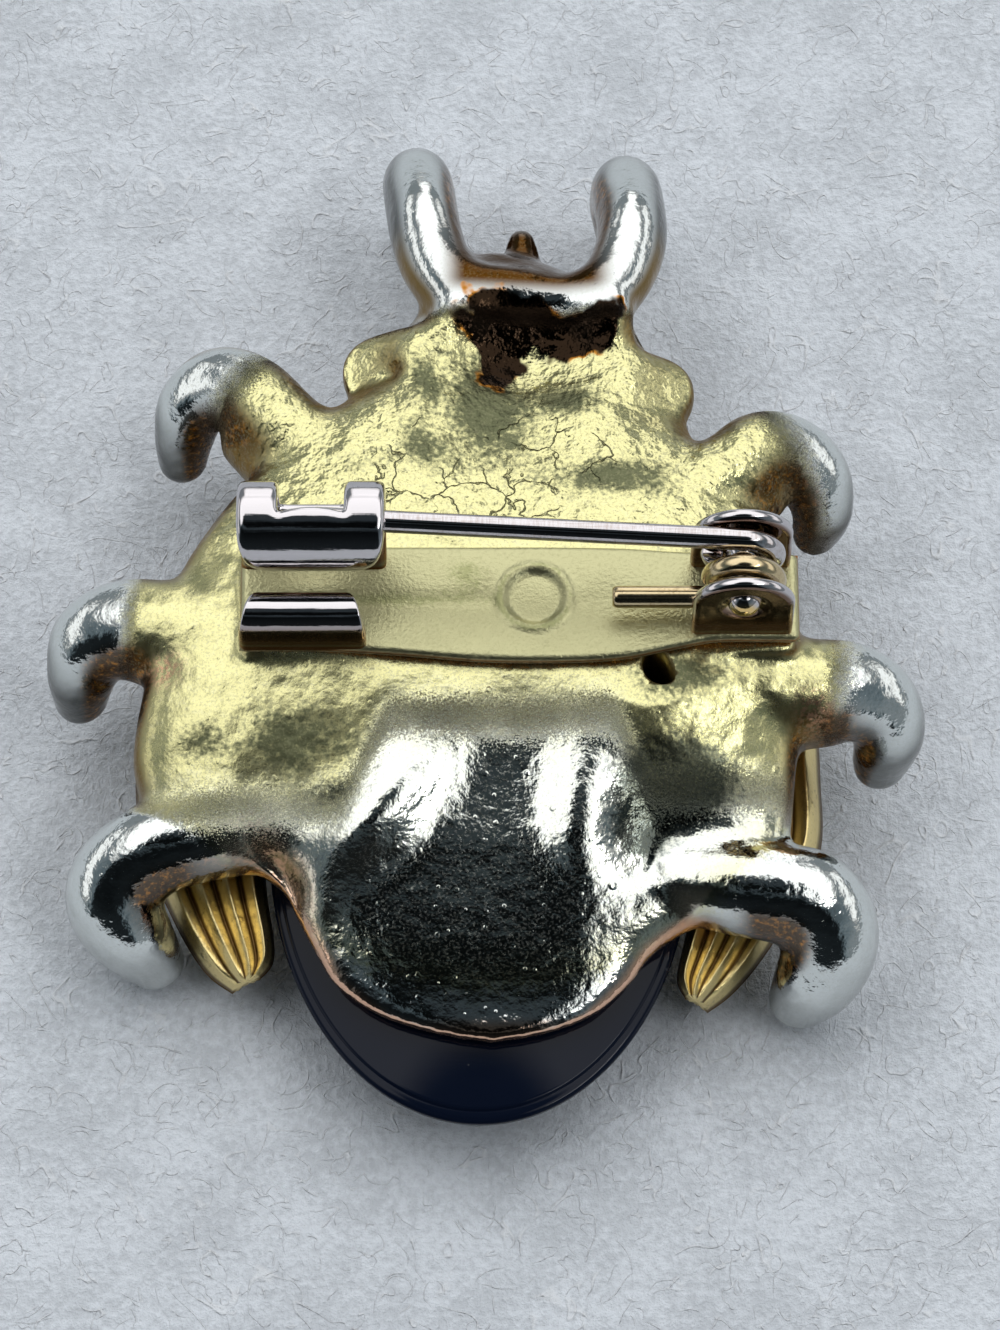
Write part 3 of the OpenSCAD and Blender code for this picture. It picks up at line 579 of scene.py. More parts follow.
def seat_rings(scene):
    """The level seat under the finding's plate: a box with round edges, as rings that shrink to
    its top and bottom."""
    f = scene.brooch_finding
    a = turns(160)
    edge = np.maximum(
        np.abs(np.cos(a)) / (mm(f.long) / 2 - 0.1), np.abs(np.sin(a)) / (mm(f.width) / 2 - 0.1)
    )
    flat = np.stack([np.cos(a) / edge, np.sin(a) / edge], -1)
    shrink = np.array([0.02, 0.5, 0.98, 1.0, 1.0, 0.98, 0.5, 0.02])
    drop = np.array([1.6, 1.6, 1.6, 1.5, 0.06, 0.0, 0.0, 0.0])
    rings = np.empty((len(shrink), len(a), 3))
    rings[..., :2] = flat[None] * shrink[:, None, None] + np.array([mm(f.across), -mm(f.down)])
    rings[..., 2] = (levels(scene).back - drop)[:, None]
    return rings


def casting_parts(scene):
    """All closed skins that the casting is fused from."""
    c = scene.brooch_casting
    parts = [body_rings(scene), seat_rings(scene)]
    parts += [limb_rings(scene, rows, mm(c.leg_d)) for rows in LEGS.values()]
    parts += [limb_rings(scene, rows, mm(c.horn_d)) for rows in HORNS.values()]
    parts += [ball_between(spot(scene, *row[:3]), row[3], spot(scene, *row[4:7]), row[7]) for row in LUMPS]
    for row in OVALS:
        place = spot(scene, *row[:3])
        parts.append(ball_between(place, 1.0, place, 1.0, squeeze=row[3:], sides=72, rows=60))
    return parts


def press_seat(scene, co):
    """Keeps the casting out of the stone's room: a point inside the oval and below its top goes
    to the oval's side or its top, whichever is nearer."""
    s, size = scene.brooch_stone, levels(scene)
    centre = np.array([STONE_X, mm(s.long) / 2 - size.half_l])
    axes = np.array([mm(s.width) / 2 + mm(s.gap), mm(s.long) / 2 + mm(s.gap)])
    p = (co[:, :2] - centre) / axes
    r = np.linalg.norm(p, axis=1)
    inside = (r < 1) & (co[:, 2] < size.under)
    out = inside & ((1 - r) * axes.mean() < size.under - co[:, 2])
    co[out, :2] = centre + (p[out] / r[out, None]) * axes
    co[inside & ~out, 2] = size.under
    return co


def shape_casting(piece, scene):
    """Evens out the fused skin, most where limbs leave the body and not on the plate's seat, then
    adds the soft relief and presses the stone's room."""
    f, back = scene.brooch_finding, levels(scene).back
    co = points_of(piece)
    roots = [(*rows[1][:2], *LEG_ROOT) for rows in LEGS.values()] + ROOTS
    root = sum(near(scene, co, *row) for row in roots)
    seat = (np.abs(co[:, 0] - mm(f.across)) < 11.4) * (np.abs(co[:, 1] + mm(f.down)) < 2.45)
    seat = seat * step(co[:, 2], back - 0.8, back - 0.05)
    relax(piece, 36, np.clip(root, 0, 1) * (1 - seat))
    relax(piece, 8, np.full(len(co), 0.6))
    co, up = points_of(piece), normals_of(piece)[:, 2]
    co[:, 2] += bells(RELIEF, co[:, 0], co[:, 1]) * step(up, 0.15, 0.7)
    co = press_seat(scene, co)
    co[:, 2] = np.minimum(co[:, 2], mm(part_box("back_casting")[1][2]))
    set_points(piece, co)


def cut_hole(piece, scene):
    """Cuts the pinched casting hole through the back with a drop-shaped plug."""
    f, size = scene.brooch_finding, levels(scene)
    r = mm(scene.brooch_casting.hole_d) / 2
    a = turns(40)
    middle = -mm(f.down) - 0.57 * mm(f.width)
    y = middle + r * 1.55 * np.sin(a)
    x = mm(f.across) + 0.245 * mm(f.long) + r * np.cos(a) * (0.95 - 0.35 * np.sin(a)) - 0.22 * (y - middle)
    rings = [np.stack([x, y, np.full_like(x, z)], -1) for z in (size.under - 1.0, size.back + 1.0)]
    plug = new_piece("hole_plug", [np.array(rings)])
    cut = piece.modifiers.new("hole", "BOOLEAN")
    cut.operation, cut.object, cut.solver = "DIFFERENCE", plug, "EXACT"
    bpy.context.view_layer.objects.active = piece
    bpy.ops.object.modifier_apply(modifier=cut.name)
    bpy.data.objects.remove(plug)


def hooked(co, no):
    """How far a point faces the middle of the hook that it lies on, from 0 to 1."""
    best = np.zeros(len(co))
    for x, y, reach in HOOKS:
        away = np.array([x, y]) - co[:, :2]
        far = np.linalg.norm(away, axis=1)
        facing = (no[:, :2] * unit(away)).sum(1)
        best = np.maximum(best, (1 - step(far, 0.8 * reach, 1.2 * reach)) * step(facing, 0.25, 0.7))
    return best


def mark_casting(piece, scene):
    """Keeps at each point how worn, polished or stained the plating is there, and where shade, dark
    reflections and glints are painted on it. Limbs are what lies past an oval and past the body's edges, or
    north of the head."""
    size = levels(scene)
    co, no = points_of(piece), normals_of(piece)
    (x, y, z), up = co.T, no[:, 2]
    rows = np.array(BODY[::-1])
    x0, x1 = (np.interp(y, rows[:, 0] * size.half_l, rows[:, k] * size.half_w) for k in (1, 2))
    edge = np.abs(x - (x0 + x1) / 2) / np.maximum((x1 - x0) / 2, 0.2)
    past_head = step(y, 10.6, 12.6)
    # the lower back is polished from a line that lies further down at both sides
    line = 4.4 + 3.4 * step(-x, 3.6, 6.0) + 2.6 * step(x, 4.8, 7.0)
    low = step(-y - line, 0.2, 4.6)
    limb = np.maximum(step(np.hypot((x - 0.3) / 13.2, (y + 1.5) / 14.2), 0.94, 1.22), past_head)
    limb *= np.maximum(step(edge, 0.99, 1.12), np.maximum(low, past_head))
    # how far upwards a normal may point on a steep side, where shade is painted, on horns, other limbs and the
    # body
    on_limb, on_horn, on_head = limb > 0.5, y > 10.5, step(y, 4.0, 7.0)
    steep = np.where(on_limb, np.where(on_horn, 0.42, 0.12), 0.50 + 0.14 * on_head)
    level = np.where(on_limb, np.where(on_horn, 0.80, 0.60), 0.92 + 0.05 * on_head)
    rim = np.maximum(step(edge, 0.87, 0.955), step(-y, 18.1, 18.7))
    rim = rim * (1 - step(z, size.under + 1.0, size.under + 1.9))
    mark(
        piece,
        # north: the painted grey shade on the limbs' sides is dimmer here
        north=step(y, -11.0, -5.0),
        front=step(y, 0.4, 2.0),
        grey=np.where(on_horn, step(y, 14.3, 16.8), limb),
        polished=np.maximum(limb, low),
        worn=limb,
        lowered=low * (1 - limb),
        crackled=step(y, 1.2, 2.4) * (1 - step(y, 6.4, 8.6)) * (1 - step(np.abs(x - 0.4), 4.6, 7.0)),
        # painted dark amber shade over the brow's far side between the horns
        scorched=step(y, 12.4, 13.4) * (1 - step(y, 16.6, 18.2)) * (1 - step(np.abs(x - 1.8), 2.6, 4.0)),
        # side: steep faces, which get painted brown and grey shade and a little less metal
        side=1 - step(up, steep, level),
        # inner: amber inside the bends, partly painted shade and bounced light
        inner=0.9 * hooked(co, no) * (1 - step(up, 0.50, 0.80)),
        rim=rim * step(-y, 11.5, 13.0) * (1 - step(np.abs(x - 0.2), 8.6, 9.6)),
        # stains, and a painted dark reflection down the thorax
        stain=bells(STAINS_AND_REFLECTIONS, x, y),
        # painted dark reflection behind the horns' bar
        burnt=bells(HEAD_DARK_REFLECTIONS, x, y),
        # painted dark reflections on the lower back's lobes
        smoked=bells(LOBE_DARK_REFLECTIONS, x, y),
        # painted coppery glints
        glints=bells(GLINTS, x, y),
    )


class BROOCH_OT_casting(bpy.types.Operator):
    """Make the cast back with its legs, horns and head"""

    bl_idname = "brooch.casting"
    bl_label = "Cast Back"

    def execute(self, context):
        scene = context.scene
        piece = new_piece("beetle_casting", casting_parts(scene))
        fuse(piece, scene.brooch_casting.grain)
        shape_casting(piece, scene)
        cut_hole(piece, scene)
        mark_casting(piece, scene)
        finished(piece, cast_metal(scene), "cast_gold", "brooch", "back_casting")
        return {"FINISHED"}


# ---- the stone and the wings


def stone_rings(scene):
    """The stone from its front's tip: a dome of radius sin(a)^0.92 and height 1 - cos(a)^1.1, a
    rolled girdle, and a back that is level in its middle and falls as a power 1.35 to the girdle."""
    s = scene.brooch_stone
    girdle = mm(s.height - s.bevel) - mm(s.bevel)
    a = np.radians(np.concatenate([[1.0], np.linspace(4, 86, 60)]))
    b = np.radians(np.linspace(0, 74, 16))
    back = np.linspace(0.960, 0.03, 60)
    out = np.concatenate([np.sin(a) ** 0.92, 1 - 0.055 * (1 - np.cos(b)), back])[:, None]
    z = np.concatenate([
        girdle * (1 - np.cos(a) ** 1.1),
        girdle + 0.5 * mm(s.bevel) * np.sin(b),
        mm(s.height) - 1.5 * mm(s.bevel) * np.clip((back - 0.50) / 0.46, 0, 1) ** 1.35,
    ])
    a = turns(160)[None]
    x = STONE_X + mm(s.width) / 2 * out * np.cos(a)
    y = mm(s.long) / 2 - levels(scene).half_l + mm(s.long) / 2 * out * np.sin(a)
    return np.stack([x, y, np.broadcast_to(z[:, None], x.shape)], -1)


class BROOCH_OT_stone(bpy.types.Operator):
    """Make the oval stone"""

    bl_idname = "brooch.stone"
    bl_label = "Stone"

    def execute(self, context):
        piece = new_piece("oval_stone", [stone_rings(context.scene)])
        finished(piece, stone_glass(context.scene), "stone_black", "brooch", "stone")
        return {"FINISHED"}


def wing_rings(scene, side):
    """Wing sections: from the inner edge beside the stone to the outer edge, the height falls as
    u^2.2 and carries the flutes, lower where the wing narrows; the underside is the same, a wing's
    thickness lower."""
    s, size = scene.brooch_stone, levels(scene)
    row = read_rows(WINGS[side], 110)
    r, gap = mm(s.wing_t) / 2, mm(s.wing_gap)
    y = (row[:, 0] * size.half_l)[:, None]
    outer = (row[:, 1] * size.half_w)[:, None]
    along = np.clip(np.abs(y - (mm(s.long) / 2 - size.half_l)) / (mm(s.long) / 2 + gap), 0, 1)
    beside = side * STONE_X + (mm(s.width) / 2 + gap) * np.sqrt(1 - along**2)
    inner = np.minimum(beside + (row[:, 2] * size.half_w)[:, None], outer - 1)
    wide = outer - inner
    base = (row[:, 3] * (size.under - gap - mm(s.flute_h) / 2))[:, None]
    u = np.linspace(0, 1, WING_STEPS)[None, :]
    # nearly flat facets between soft ridges and valleys, and both edges are rounded off
    ripple = -np.arcsin(0.965 * np.cos(2 * np.pi * s.flutes * u)) / np.arcsin(0.965)
    wave = mm(s.flute_h) / 2 * np.minimum(1, wide / (0.25 * size.half_w))
    edge = 1 - np.maximum(1 - np.minimum(u, 1 - u) * wide / r, 0) ** 2
    half = r * np.sqrt(np.clip(edge, 0, 1))
    x = side * (inner + wide * u)
    y = np.broadcast_to(y, x.shape)
    middle = base - 0.34 * mm(s.height) * u**2.2 + wave * ripple - r
    top, low = (np.stack([x, y, middle + turn * half], -1) for turn in (1, -1))
    return np.concatenate([top, low[:, ::-1]], 1)


class BROOCH_OT_wings(bpy.types.Operator):
    """Make the two fluted wings"""

    bl_idname = "brooch.wings"
    bl_label = "Wings"

    def execute(self, context):
        scene = context.scene
        metal = wing_metal(scene)
        u = np.linspace(0, 1, WING_STEPS)
        deep = 0.5 + 0.5 * np.cos(2 * np.pi * scene.brooch_stone.flutes * np.concatenate([u, u[::-1]]))
        for side, name, node in ((-1, "fluted_wing_left", "wing_left"), (1, "fluted_wing_right", "wing_right")):
            rings = wing_rings(scene, side)
            piece = new_piece(name, [rings])
            # valley: where shade is painted dark brown in the flutes
            mark(piece, valley=np.concatenate([np.tile(deep, len(rings)), [0.5, 0.5]]))
            finished(piece, metal, "wing_gold", "brooch", node)
        return {"FINISHED"}


# ---- the finding


def finding_places(scene):
    """Places of the finding in mm: middle of the plate's top, middle of the coil, how far the
    stem's turn lies along the coil's axis, and the middle of the catch's curl."""
    f = scene.brooch_finding
    long, thick, wire_r = mm(f.long), mm(f.sheet_t), mm(f.wire_d) / 2
    top = levels(scene).back + SOLDER_GAP + thick
    coil_x = mm(f.across) + long / 2 - mm(f.coil_in)
    turn_y = EAR_Y + mm(f.ear_gap) / 2 - wire_r - TURN_GAP
    return Places(
        middle=np.array([mm(f.across), -mm(f.down), top]),
        coil=np.array([coil_x, -mm(f.down), top + mm(f.coil_up)]),
        turn_y=turn_y,
        catch_y=turn_y + math.tan(f.lean) * (long - mm(f.coil_in) - mm(f.catch_l) / 2),
        catch_z=mm(f.coil_up) + mm(f.coil_d) / 2 + wire_r + TURN_GAP / 2 + thick - mm(f.catch_d) / 2,
    )


def edge_steps(inner, middle):
    """Places from -1 to 1 that crowd towards both ends, so that round edges get ten steps."""
    bend = np.sin(np.linspace(0, np.pi / 2, 10)) * inner
    level = np.linspace(-1 + inner, 1 - inner, middle)[1:-1]
    return np.concatenate([-1 + inner - bend[::-1], level, 1 - inner + bend])


def sheet(left, right, low, high, thick, rims, bump=None, steps=(60, 60)):
    """A flat sheet with round edges, as a closed skin: a and b run from -1 to 1 over the outline,
    and the half thickness falls to nothing at the rim along a quarter circle. The low and the high
    edge are each a number or a function of the place across."""
    a = edge_steps(rims[0], steps[0])[:, None]
    b = edge_steps(rims[1], steps[1])[None, :]
    x, b = np.broadcast_arrays(left + (right - left) * (a + 1) / 2, b)
    low, high = (edge(x) if callable(edge) else edge for edge in (low, high))
    s = low + (high - low) * (b + 1) / 2
    r = thick / 2
    fall = np.maximum(1 - np.minimum(x - left, right - x) / r, 0) ** 2
    fall = fall + np.maximum(1 - np.minimum(s - low, high - s) / r, 0) ** 2
    half = r * np.sqrt(np.clip(1 - fall, 0, 1))
    lift = 0 if bump is None else bump(x, s)
    points = np.concatenate([np.stack([x, s, lift + turn * half], -1).reshape(-1, 3) for turn in (1, -1)])
    i = np.arange(x.size).reshape(x.shape)
    top = np.stack([i[:-1, :-1], i[1:, :-1], i[1:, 1:], i[:-1, 1:]], -1).reshape(-1, 4)
    rim = np.concatenate([i[:, 0], i[-1, 1:], i[-2::-1, -1], i[0, -2:0:-1]])
    ring = np.stack([rim, rim + x.size, np.roll(rim, -1) + x.size, np.roll(rim, -1)], -1)
    return points, np.concatenate([top, top[:, ::-1] + x.size, ring]).tolist()


def round_end(x, wide, end, across, down):
    """A sheet's end edge: level, with a quarter oval at each corner."""
    d = np.clip(1 - np.minimum(x, wide - x) / across, 0, 1)
    return end - down * (1 - np.sqrt(1 - d**2)) * 0.999


def rolled(points, centre, radius, foot, wall):
    """Flat points rolled about an axis along x: up to the wall's length they climb the leaning
    wall, and beyond it they go round the curl, each as far off the sheet as before."""
    x, s, n = points.T
    a = foot + np.maximum(s - wall, 0) / radius
    out = np.stack([np.cos(a), np.sin(a)], -1)
    down = np.minimum(s - wall, 0)[:, None] * np.array([-math.sin(foot), math.cos(foot)])
    return np.concatenate([x[:, None], centre + out * (radius + n)[:, None] + down], 1)


def polar_sheet(reach, thick, dish):
    """A wall with round edges as a closed skin: rings round its middle out to the outline, whose
    distance is reach(angle), dished by dish(distance), with the rim a half circle."""
    a, r = turns(120), thick / 2
    out = (reach(a) - r)[None, :]
    bend = np.radians(np.linspace(90, -90, 13))[1:-1, None]
    body = out * np.linspace(0.02, 1, 40)[:, None]
    d = np.concatenate([body, out + r * np.cos(bend), body[::-1]])
    n = np.concatenate([np.full((40, 1), r), r * np.sin(bend), np.full((40, 1), -r)])
    return skin(np.stack([d * np.cos(a), d * np.sin(a), n + dish(d)], -1))


def plate_skin(f, at):
    """The plate: its outline from a table, with its low relief pressed in."""
    long, wide, thick = mm(f.long), mm(f.width), mm(f.sheet_t)
    rows = read_rows(PLATE_EDGE, 200)

    def edge(column):
        """A long edge, as a function of the place across."""
        return lambda x: np.interp(x, rows[:, 0] * long, rows[:, column] * wide)

    def press(x, s):
        """The plate's low relief: a ring, its sunken middle, and a shallow fold along it."""
        r = np.hypot(x - RING_ALONG * long, s)
        ring = 0.10 * np.exp(-(((r - mm(f.ring_d) / 2 + 0.1) / 0.2) ** 2)) - 0.13 * (1 - step(r, 0.95, 1.3))
        fold = -0.05 * np.exp(-(((s + 0.15) / 0.35) ** 2)) * step(-x, -6.0, 4.0)
        return ring + fold * (r > 1.6) + 0.02 * np.sin(x * 1.3) * np.cos(s * 2.1)

    points, faces = sheet(-long / 2, long / 2, edge(2), edge(1), thick, (0.02, 0.1), press, (170, 64))
    return points + at.middle - np.array([0, 0, thick / 2]), faces


def catch_piece(f, at):
    """The catch: a strip below the notch, two posts beside it and a curl over them, fused as a flat
    blank and then rolled."""
    thick, long = mm(f.sheet_t), mm(f.catch_l)
    post = (long - f.notch * long) / 2
    radius, foot = mm(f.catch_d) / 2 - thick / 2, math.radians(CATCH_FOOT)
    wall = (at.catch_z + mm(f.catch_d) / 2 * math.sin(foot)) / math.cos(foot) + 0.5 * thick
    low, high, end = (wall + radius * (math.radians(a) - foot) for a in (NOTCH_LOW, NOTCH_HIGH, CATCH_END))

    def over_notch(x):
        """The curl's near edge, which bows down over the notch."""
        return high - 0.22 * (1 - np.clip(np.abs(2 * x / long - 1) / f.notch, 0, 1) ** 2)

    piece = new_piece("catch_blank", [
        sheet(0.0, long, -0.2, low, thick, (0.06, 0.3)),
        sheet(0.0, post, -0.2, high + 0.6, thick, (0.2, 0.06)),
        sheet(long - post, long, -0.2, high + 0.6, thick, (0.2, 0.06)),
        sheet(0.0, long, over_notch, lambda x: round_end(x, long, end, *CATCH_CORNER), thick, (0.06, 0.06)),
    ])
    fuse(piece, CATCH_GRAIN)
    relax(piece, 10, np.ones(len(piece.data.vertices)))
    points = rolled(points_of(piece), np.array([at.catch_y, at.catch_z]), radius, foot, wall)
    set_points(piece, points + at.middle - np.array([mm(f.long) / 2, 0, 0]))
    return piece


def flange_skin(f, at):
    """The low flange: it rises as a wall, then turns inwards round a small curl."""
    thick, long, curl = mm(f.sheet_t), mm(f.flange_l), 0.4 * mm(f.flange_h)
    rise, r = mm(f.flange_h) - curl + thick * 0.6, curl - thick / 2
    end = rise + curl * math.radians(150)
    points, faces = sheet(
        0.0, long, -0.1, lambda x: round_end(x, long, end, *FLANGE_CORNER), thick, (0.06, 0.12)
    )
    x, s, n = points.T
    a = np.maximum(s - rise, 0) / r
    y = -mm(f.width) / 2 + thick / 2 + r * (1 - np.cos(a)) - n * np.cos(a)
    z = -thick * 0.6 + np.minimum(s, rise) + r * np.sin(a) + n * np.sin(a)
    return np.stack([x - mm(f.long) / 2, y, z], -1) + at.middle, faces


def ear_skins(f, at):
    """Both ears, each a dished wall with a pressed boss that faces the other ear."""
    ear_r, up, thick = 0.09 * mm(f.long), mm(f.coil_up), mm(f.sheet_t)

    def outline(a):
        """Distance to a round-topped wall: an oval arch above the coil's axis, straight sides
        and a level foot below it."""
        arch = 1 / np.sqrt((np.cos(a) / ear_r) ** 2 + (np.sin(a) / (0.92 * ear_r)) ** 2)
        box = 1 / np.maximum(np.abs(np.cos(a)) / ear_r, np.abs(np.sin(a)) / (up + 0.5 * thick))
        return np.where(np.sin(a) > 0, arch, box)

    points, faces = polar_sheet(outline, thick, lambda d: -0.34 * (1 - step(d, 0.25, 1.15)))
    parts = []
    for side in (-1, 1):
        place = at.coil + np.array([0, EAR_Y + side * (mm(f.ear_gap) / 2 + thick / 2), 0])
        parts.append((np.stack([points[:, 0], side * points[:, 2], points[:, 1]], -1) + place, faces))
        parts.append(ball_between((0, -side * 0.1, 0), 0.70, (0, -side * 0.75, 0), 0.70) + place)
    return parts


def mark_finding(piece, f, at):
    """Keeps at each point how stained, gilt, edged with copper or bright the metal is, where a reflection of
    the wire is painted on the plate, and where shade is painted brown on the faces turned to the near side.
    """
    co, no = points_of(piece), normals_of(piece)
    x, y, up = (co - at.middle).T
    flat = 1 - step(up, 0.05, 0.3)
    side = 1 - step(no[:, 2], 0.2, 0.75)
    ring = np.exp(-(((np.hypot(x - RING_ALONG * mm(f.long), y) - 1.42) / 0.16) ** 2))
    wall = 0.85 * side * step(up, 0.1, 0.4) * (1 - step(up, 1.1, 1.9))
    facing = step(-no[:, 1], 0.55, 0.85) * step(up, 0.1, 0.4)
    dimple = 1 - step(np.hypot(co[:, 0] - at.coil[0], co[:, 2] - at.coil[2]), 0.55, 0.85)
    by_catch = step(6.4 - (x + mm(f.long) / 2), 0.0, 0.4)
    mark(
        piece,
        # stains round the ring, and a painted reflection of the pin's wire along the plate
        stain=flat * np.clip(bells(PLATE_STAINS_AND_REFLECTION, x, y) + 0.8 * ring, 0, 1),
        edge=np.maximum(flat * side, wall),
        # painted shade on the faces turned to the near side
        brown=facing * (1 - dimple) * (1 - 0.65 * by_catch),
        gilt=facing * dimple,
        steel=np.maximum(step(up, 0.4, 1.1) * by_catch, step(up, 0.6, 1.6)),
    )


class BROOCH_OT_finding(bpy.types.Operator):
    """Make the stamped plate with its catch, low flange, ears and pressed ring"""

    bl_idname = "brooch.finding"
    bl_label = "Pin Plate"

    def execute(self, context):
        scene = context.scene
        f, at = scene.brooch_finding, finding_places(scene)
        catch = catch_piece(f, at)
        piece = new_piece("pin_finding", [plate_skin(f, at), flange_skin(f, at), *ear_skins(f, at)])
        bpy.ops.object.select_all(action="DESELECT")
        catch.select_set(True)
        piece.select_set(True)
        bpy.context.view_layer.objects.active = piece
        bpy.ops.object.join()
        mark_finding(piece, f, at)
        finished(piece, finding_metal(scene), "plate_metal", "brooch", "pin_plate")
        return {"FINISHED"}


def wire_rings(path, wide):
    """A round wire of half thickness wide along a path that turns about the coil's axis."""
    way = unit(np.gradient(path, axis=0))
    across = np.tile([0.0, 1.0, 0.0], (len(path), 1))
    return carried(path, across, np.cross(across, way), wide, wide, 36)


def stem_rings(f, at):
    """The stem: three quarters of a turn, the arm and its point, all leaning."""
    r, coil, arm_l, point_l = mm(f.wire_d) / 2, mm(f.coil_d) / 2, mm(f.stem_l - f.point_l), mm(f.point_l)
    phi = np.radians(np.linspace(180, 450, 150))
    turn = np.stack([coil * np.cos(phi), np.zeros_like(phi), coil * np.sin(phi)], -1)
    x = np.concatenate([np.linspace(0, -arm_l, 60)[1:], -arm_l - np.linspace(0, point_l, 30)[1:]])
    path = np.concatenate([turn, np.stack([x, np.zeros_like(x), np.full_like(x, coil)], -1)])
    wide = r * np.where(path[:, 0] < -arm_l, 1 - 0.88 * (-arm_l - path[:, 0]) / point_l, 1.0)
    wide[:3] *= np.array([0.80, 0.93, 0.98])
    c, s = math.cos(f.lean), math.sin(f.lean)
    leant = np.array([[c, s, 0], [-s, c, 0], [0, 0, 1]])
    return wire_rings(path, wide) @ leant.T + at.coil + np.array([0, at.turn_y, 0])


def coil_rings(f, at):
    """The coil: its loose tail, then three quarters of a turn that climbs along the axis."""
    r, coil = mm(f.wire_d) / 2, mm(f.coil_d) / 2
    y0 = EAR_Y - mm(f.ear_gap) / 2 + r + TURN_GAP / 2
    y1 = at.turn_y - 2 * r - TURN_GAP
    x = np.linspace(-mm(f.tail_l), -0.2, 50)
    b = np.radians(np.linspace(-90, 180, 130))
    tail = np.stack([x, np.full_like(x, y0), np.full_like(x, -coil)], -1)
    loop = np.stack([coil * np.cos(b), np.linspace(y0, y1, len(b)), coil * np.sin(b)], -1)
    path = np.concatenate([tail, loop])
    wide = np.full(len(path), r)
    wide[:2] *= np.array([0.82, 0.94])
    return wire_rings(path, wide) + at.coil


class BROOCH_OT_wire(bpy.types.Operator):
    """Make the swinging stem and the still part of the coil with its tail"""

    bl_idname = "brooch.wire"
    bl_label = "Pin Stem and Coil"

    def execute(self, context):
        scene = context.scene
        f, at = scene.brooch_finding, finding_places(scene)
        stem = new_piece("pin_stem_wire", [stem_rings(f, at)])
        finished(stem, wire_metal(scene), "stem_steel", "stem", "pin_stem")
        loose = new_piece("coil_tail_wire", [coil_rings(f, at)])
        finished(loose, coil_metal(), "coil_steel", "brooch", "spring_coil")
        return {"FINISHED"}


# ---- materials


class Value:
    """A socket's value. Adding, subtracting or multiplying it makes a math node."""

    def __init__(self, graph, socket):
        self.graph, self.socket = graph, socket

    def __add__(self, other):
        return self.graph.math("ADD", self, other)

    def __sub__(self, other):
        return self.graph.math("SUBTRACT", self, other)

    def __rsub__(self, other):
        return self.graph.math("SUBTRACT", other, self)

    def __mul__(self, other):
        return self.graph.math("MULTIPLY", self, other)


class Graph:
    """A node tree that is written as arithmetic on values."""

    def __init__(self, tree):
        self.tree = tree

    def fill(self, socket, value):
        """Links a value to a socket, or sets a number, place or colour on it."""
        if isinstance(value, Value):
            self.tree.links.new(value.socket, socket)
        else:
            socket.default_value = (*value, 1.0) if socket.type == "RGBA" else value

    def node(self, kind, inputs, **settings):
        """Adds a node with its settings and inputs."""
        node = self.tree.nodes.new(kind)
        for name, value in settings.items():
            setattr(node, name, value)
        for name, value in inputs.items():
            self.fill(node.inputs[name], value)
        return node

    def put(self, kind, inputs, out=0, **settings):
        """Adds a node and gives its output, or a list of outputs where out is a list of them."""
        outputs = self.node(kind, inputs, **settings).outputs
        if isinstance(out, list):
            return [Value(self, outputs[name]) for name in out]
        return Value(self, outputs[out])

    def math(self, operation, *values, clamp=False):
        """One step of arithmetic."""
        return self.put("ShaderNodeMath", dict(enumerate(values)), operation=operation, use_clamp=clamp)

    def vector(self, operation, inputs, out=0):
        """One step of arithmetic on places."""
        return self.put("ShaderNodeVectorMath", inputs, out, operation=operation)

    def ramp(self, value, low, high, to_low=0.0, to_high=1.0):
        """A smooth change from one value to another."""
        inputs = {"Value": value, "From Min": low, "From Max": high, "To Min": to_low, "To Max": to_high}
        return self.put("ShaderNodeMapRange", inputs, interpolation_type="SMOOTHSTEP")

    def blend(self, factor, a, b):
        """A colour between two colours."""
        return self.put("ShaderNodeMix", {0: factor, 6: a, 7: b}, 2, data_type="RGBA")

    def noise(self, where, scale, detail=4.0, rough=0.55, distortion=0.0):
        """Noise from 0 to 1."""
        inputs = {
            "Vector": where, "Scale": scale, "Detail": detail, "Roughness": rough, "Distortion": distortion
        }
        return self.put("ShaderNodeTexNoise", inputs)

    def marks(self, names):
        """Values that the mesh keeps at its points, by their names."""
        return [self.put("ShaderNodeAttribute", {}, "Fac", attribute_name=name) for name in names.split()]


class Material(Graph):
    """A new material with its Principled shader, written over the piece's own places."""

    def __init__(self, name):
        self.material = bpy.data.materials.new(name)
        self.material.use_nodes = True
        super().__init__(self.material.node_tree)
        self.tree.nodes.clear()
        self.shader = self.node("ShaderNodeBsdfPrincipled", {})
        self.node("ShaderNodeOutputMaterial", {0: Value(self, self.shader.outputs[0])})
        self.where = self.put("ShaderNodeTexCoord", {}, "Object")

    def finish(self, colour, rough, bumps, more):
        """Fills the shader. Bump layers of (height, depth in metres, strength) are stacked."""
        normal = {}
        for height, depth, strength in bumps:
            inputs = {"Height": height, "Distance": depth, "Strength": strength, **normal}
            normal = {"Normal": self.put("ShaderNodeBump", inputs)}
        for name, value in {"Base Color": colour, "Roughness": rough, **normal, **more}.items():
            self.fill(self.shader.inputs[name], value)
        return self.material


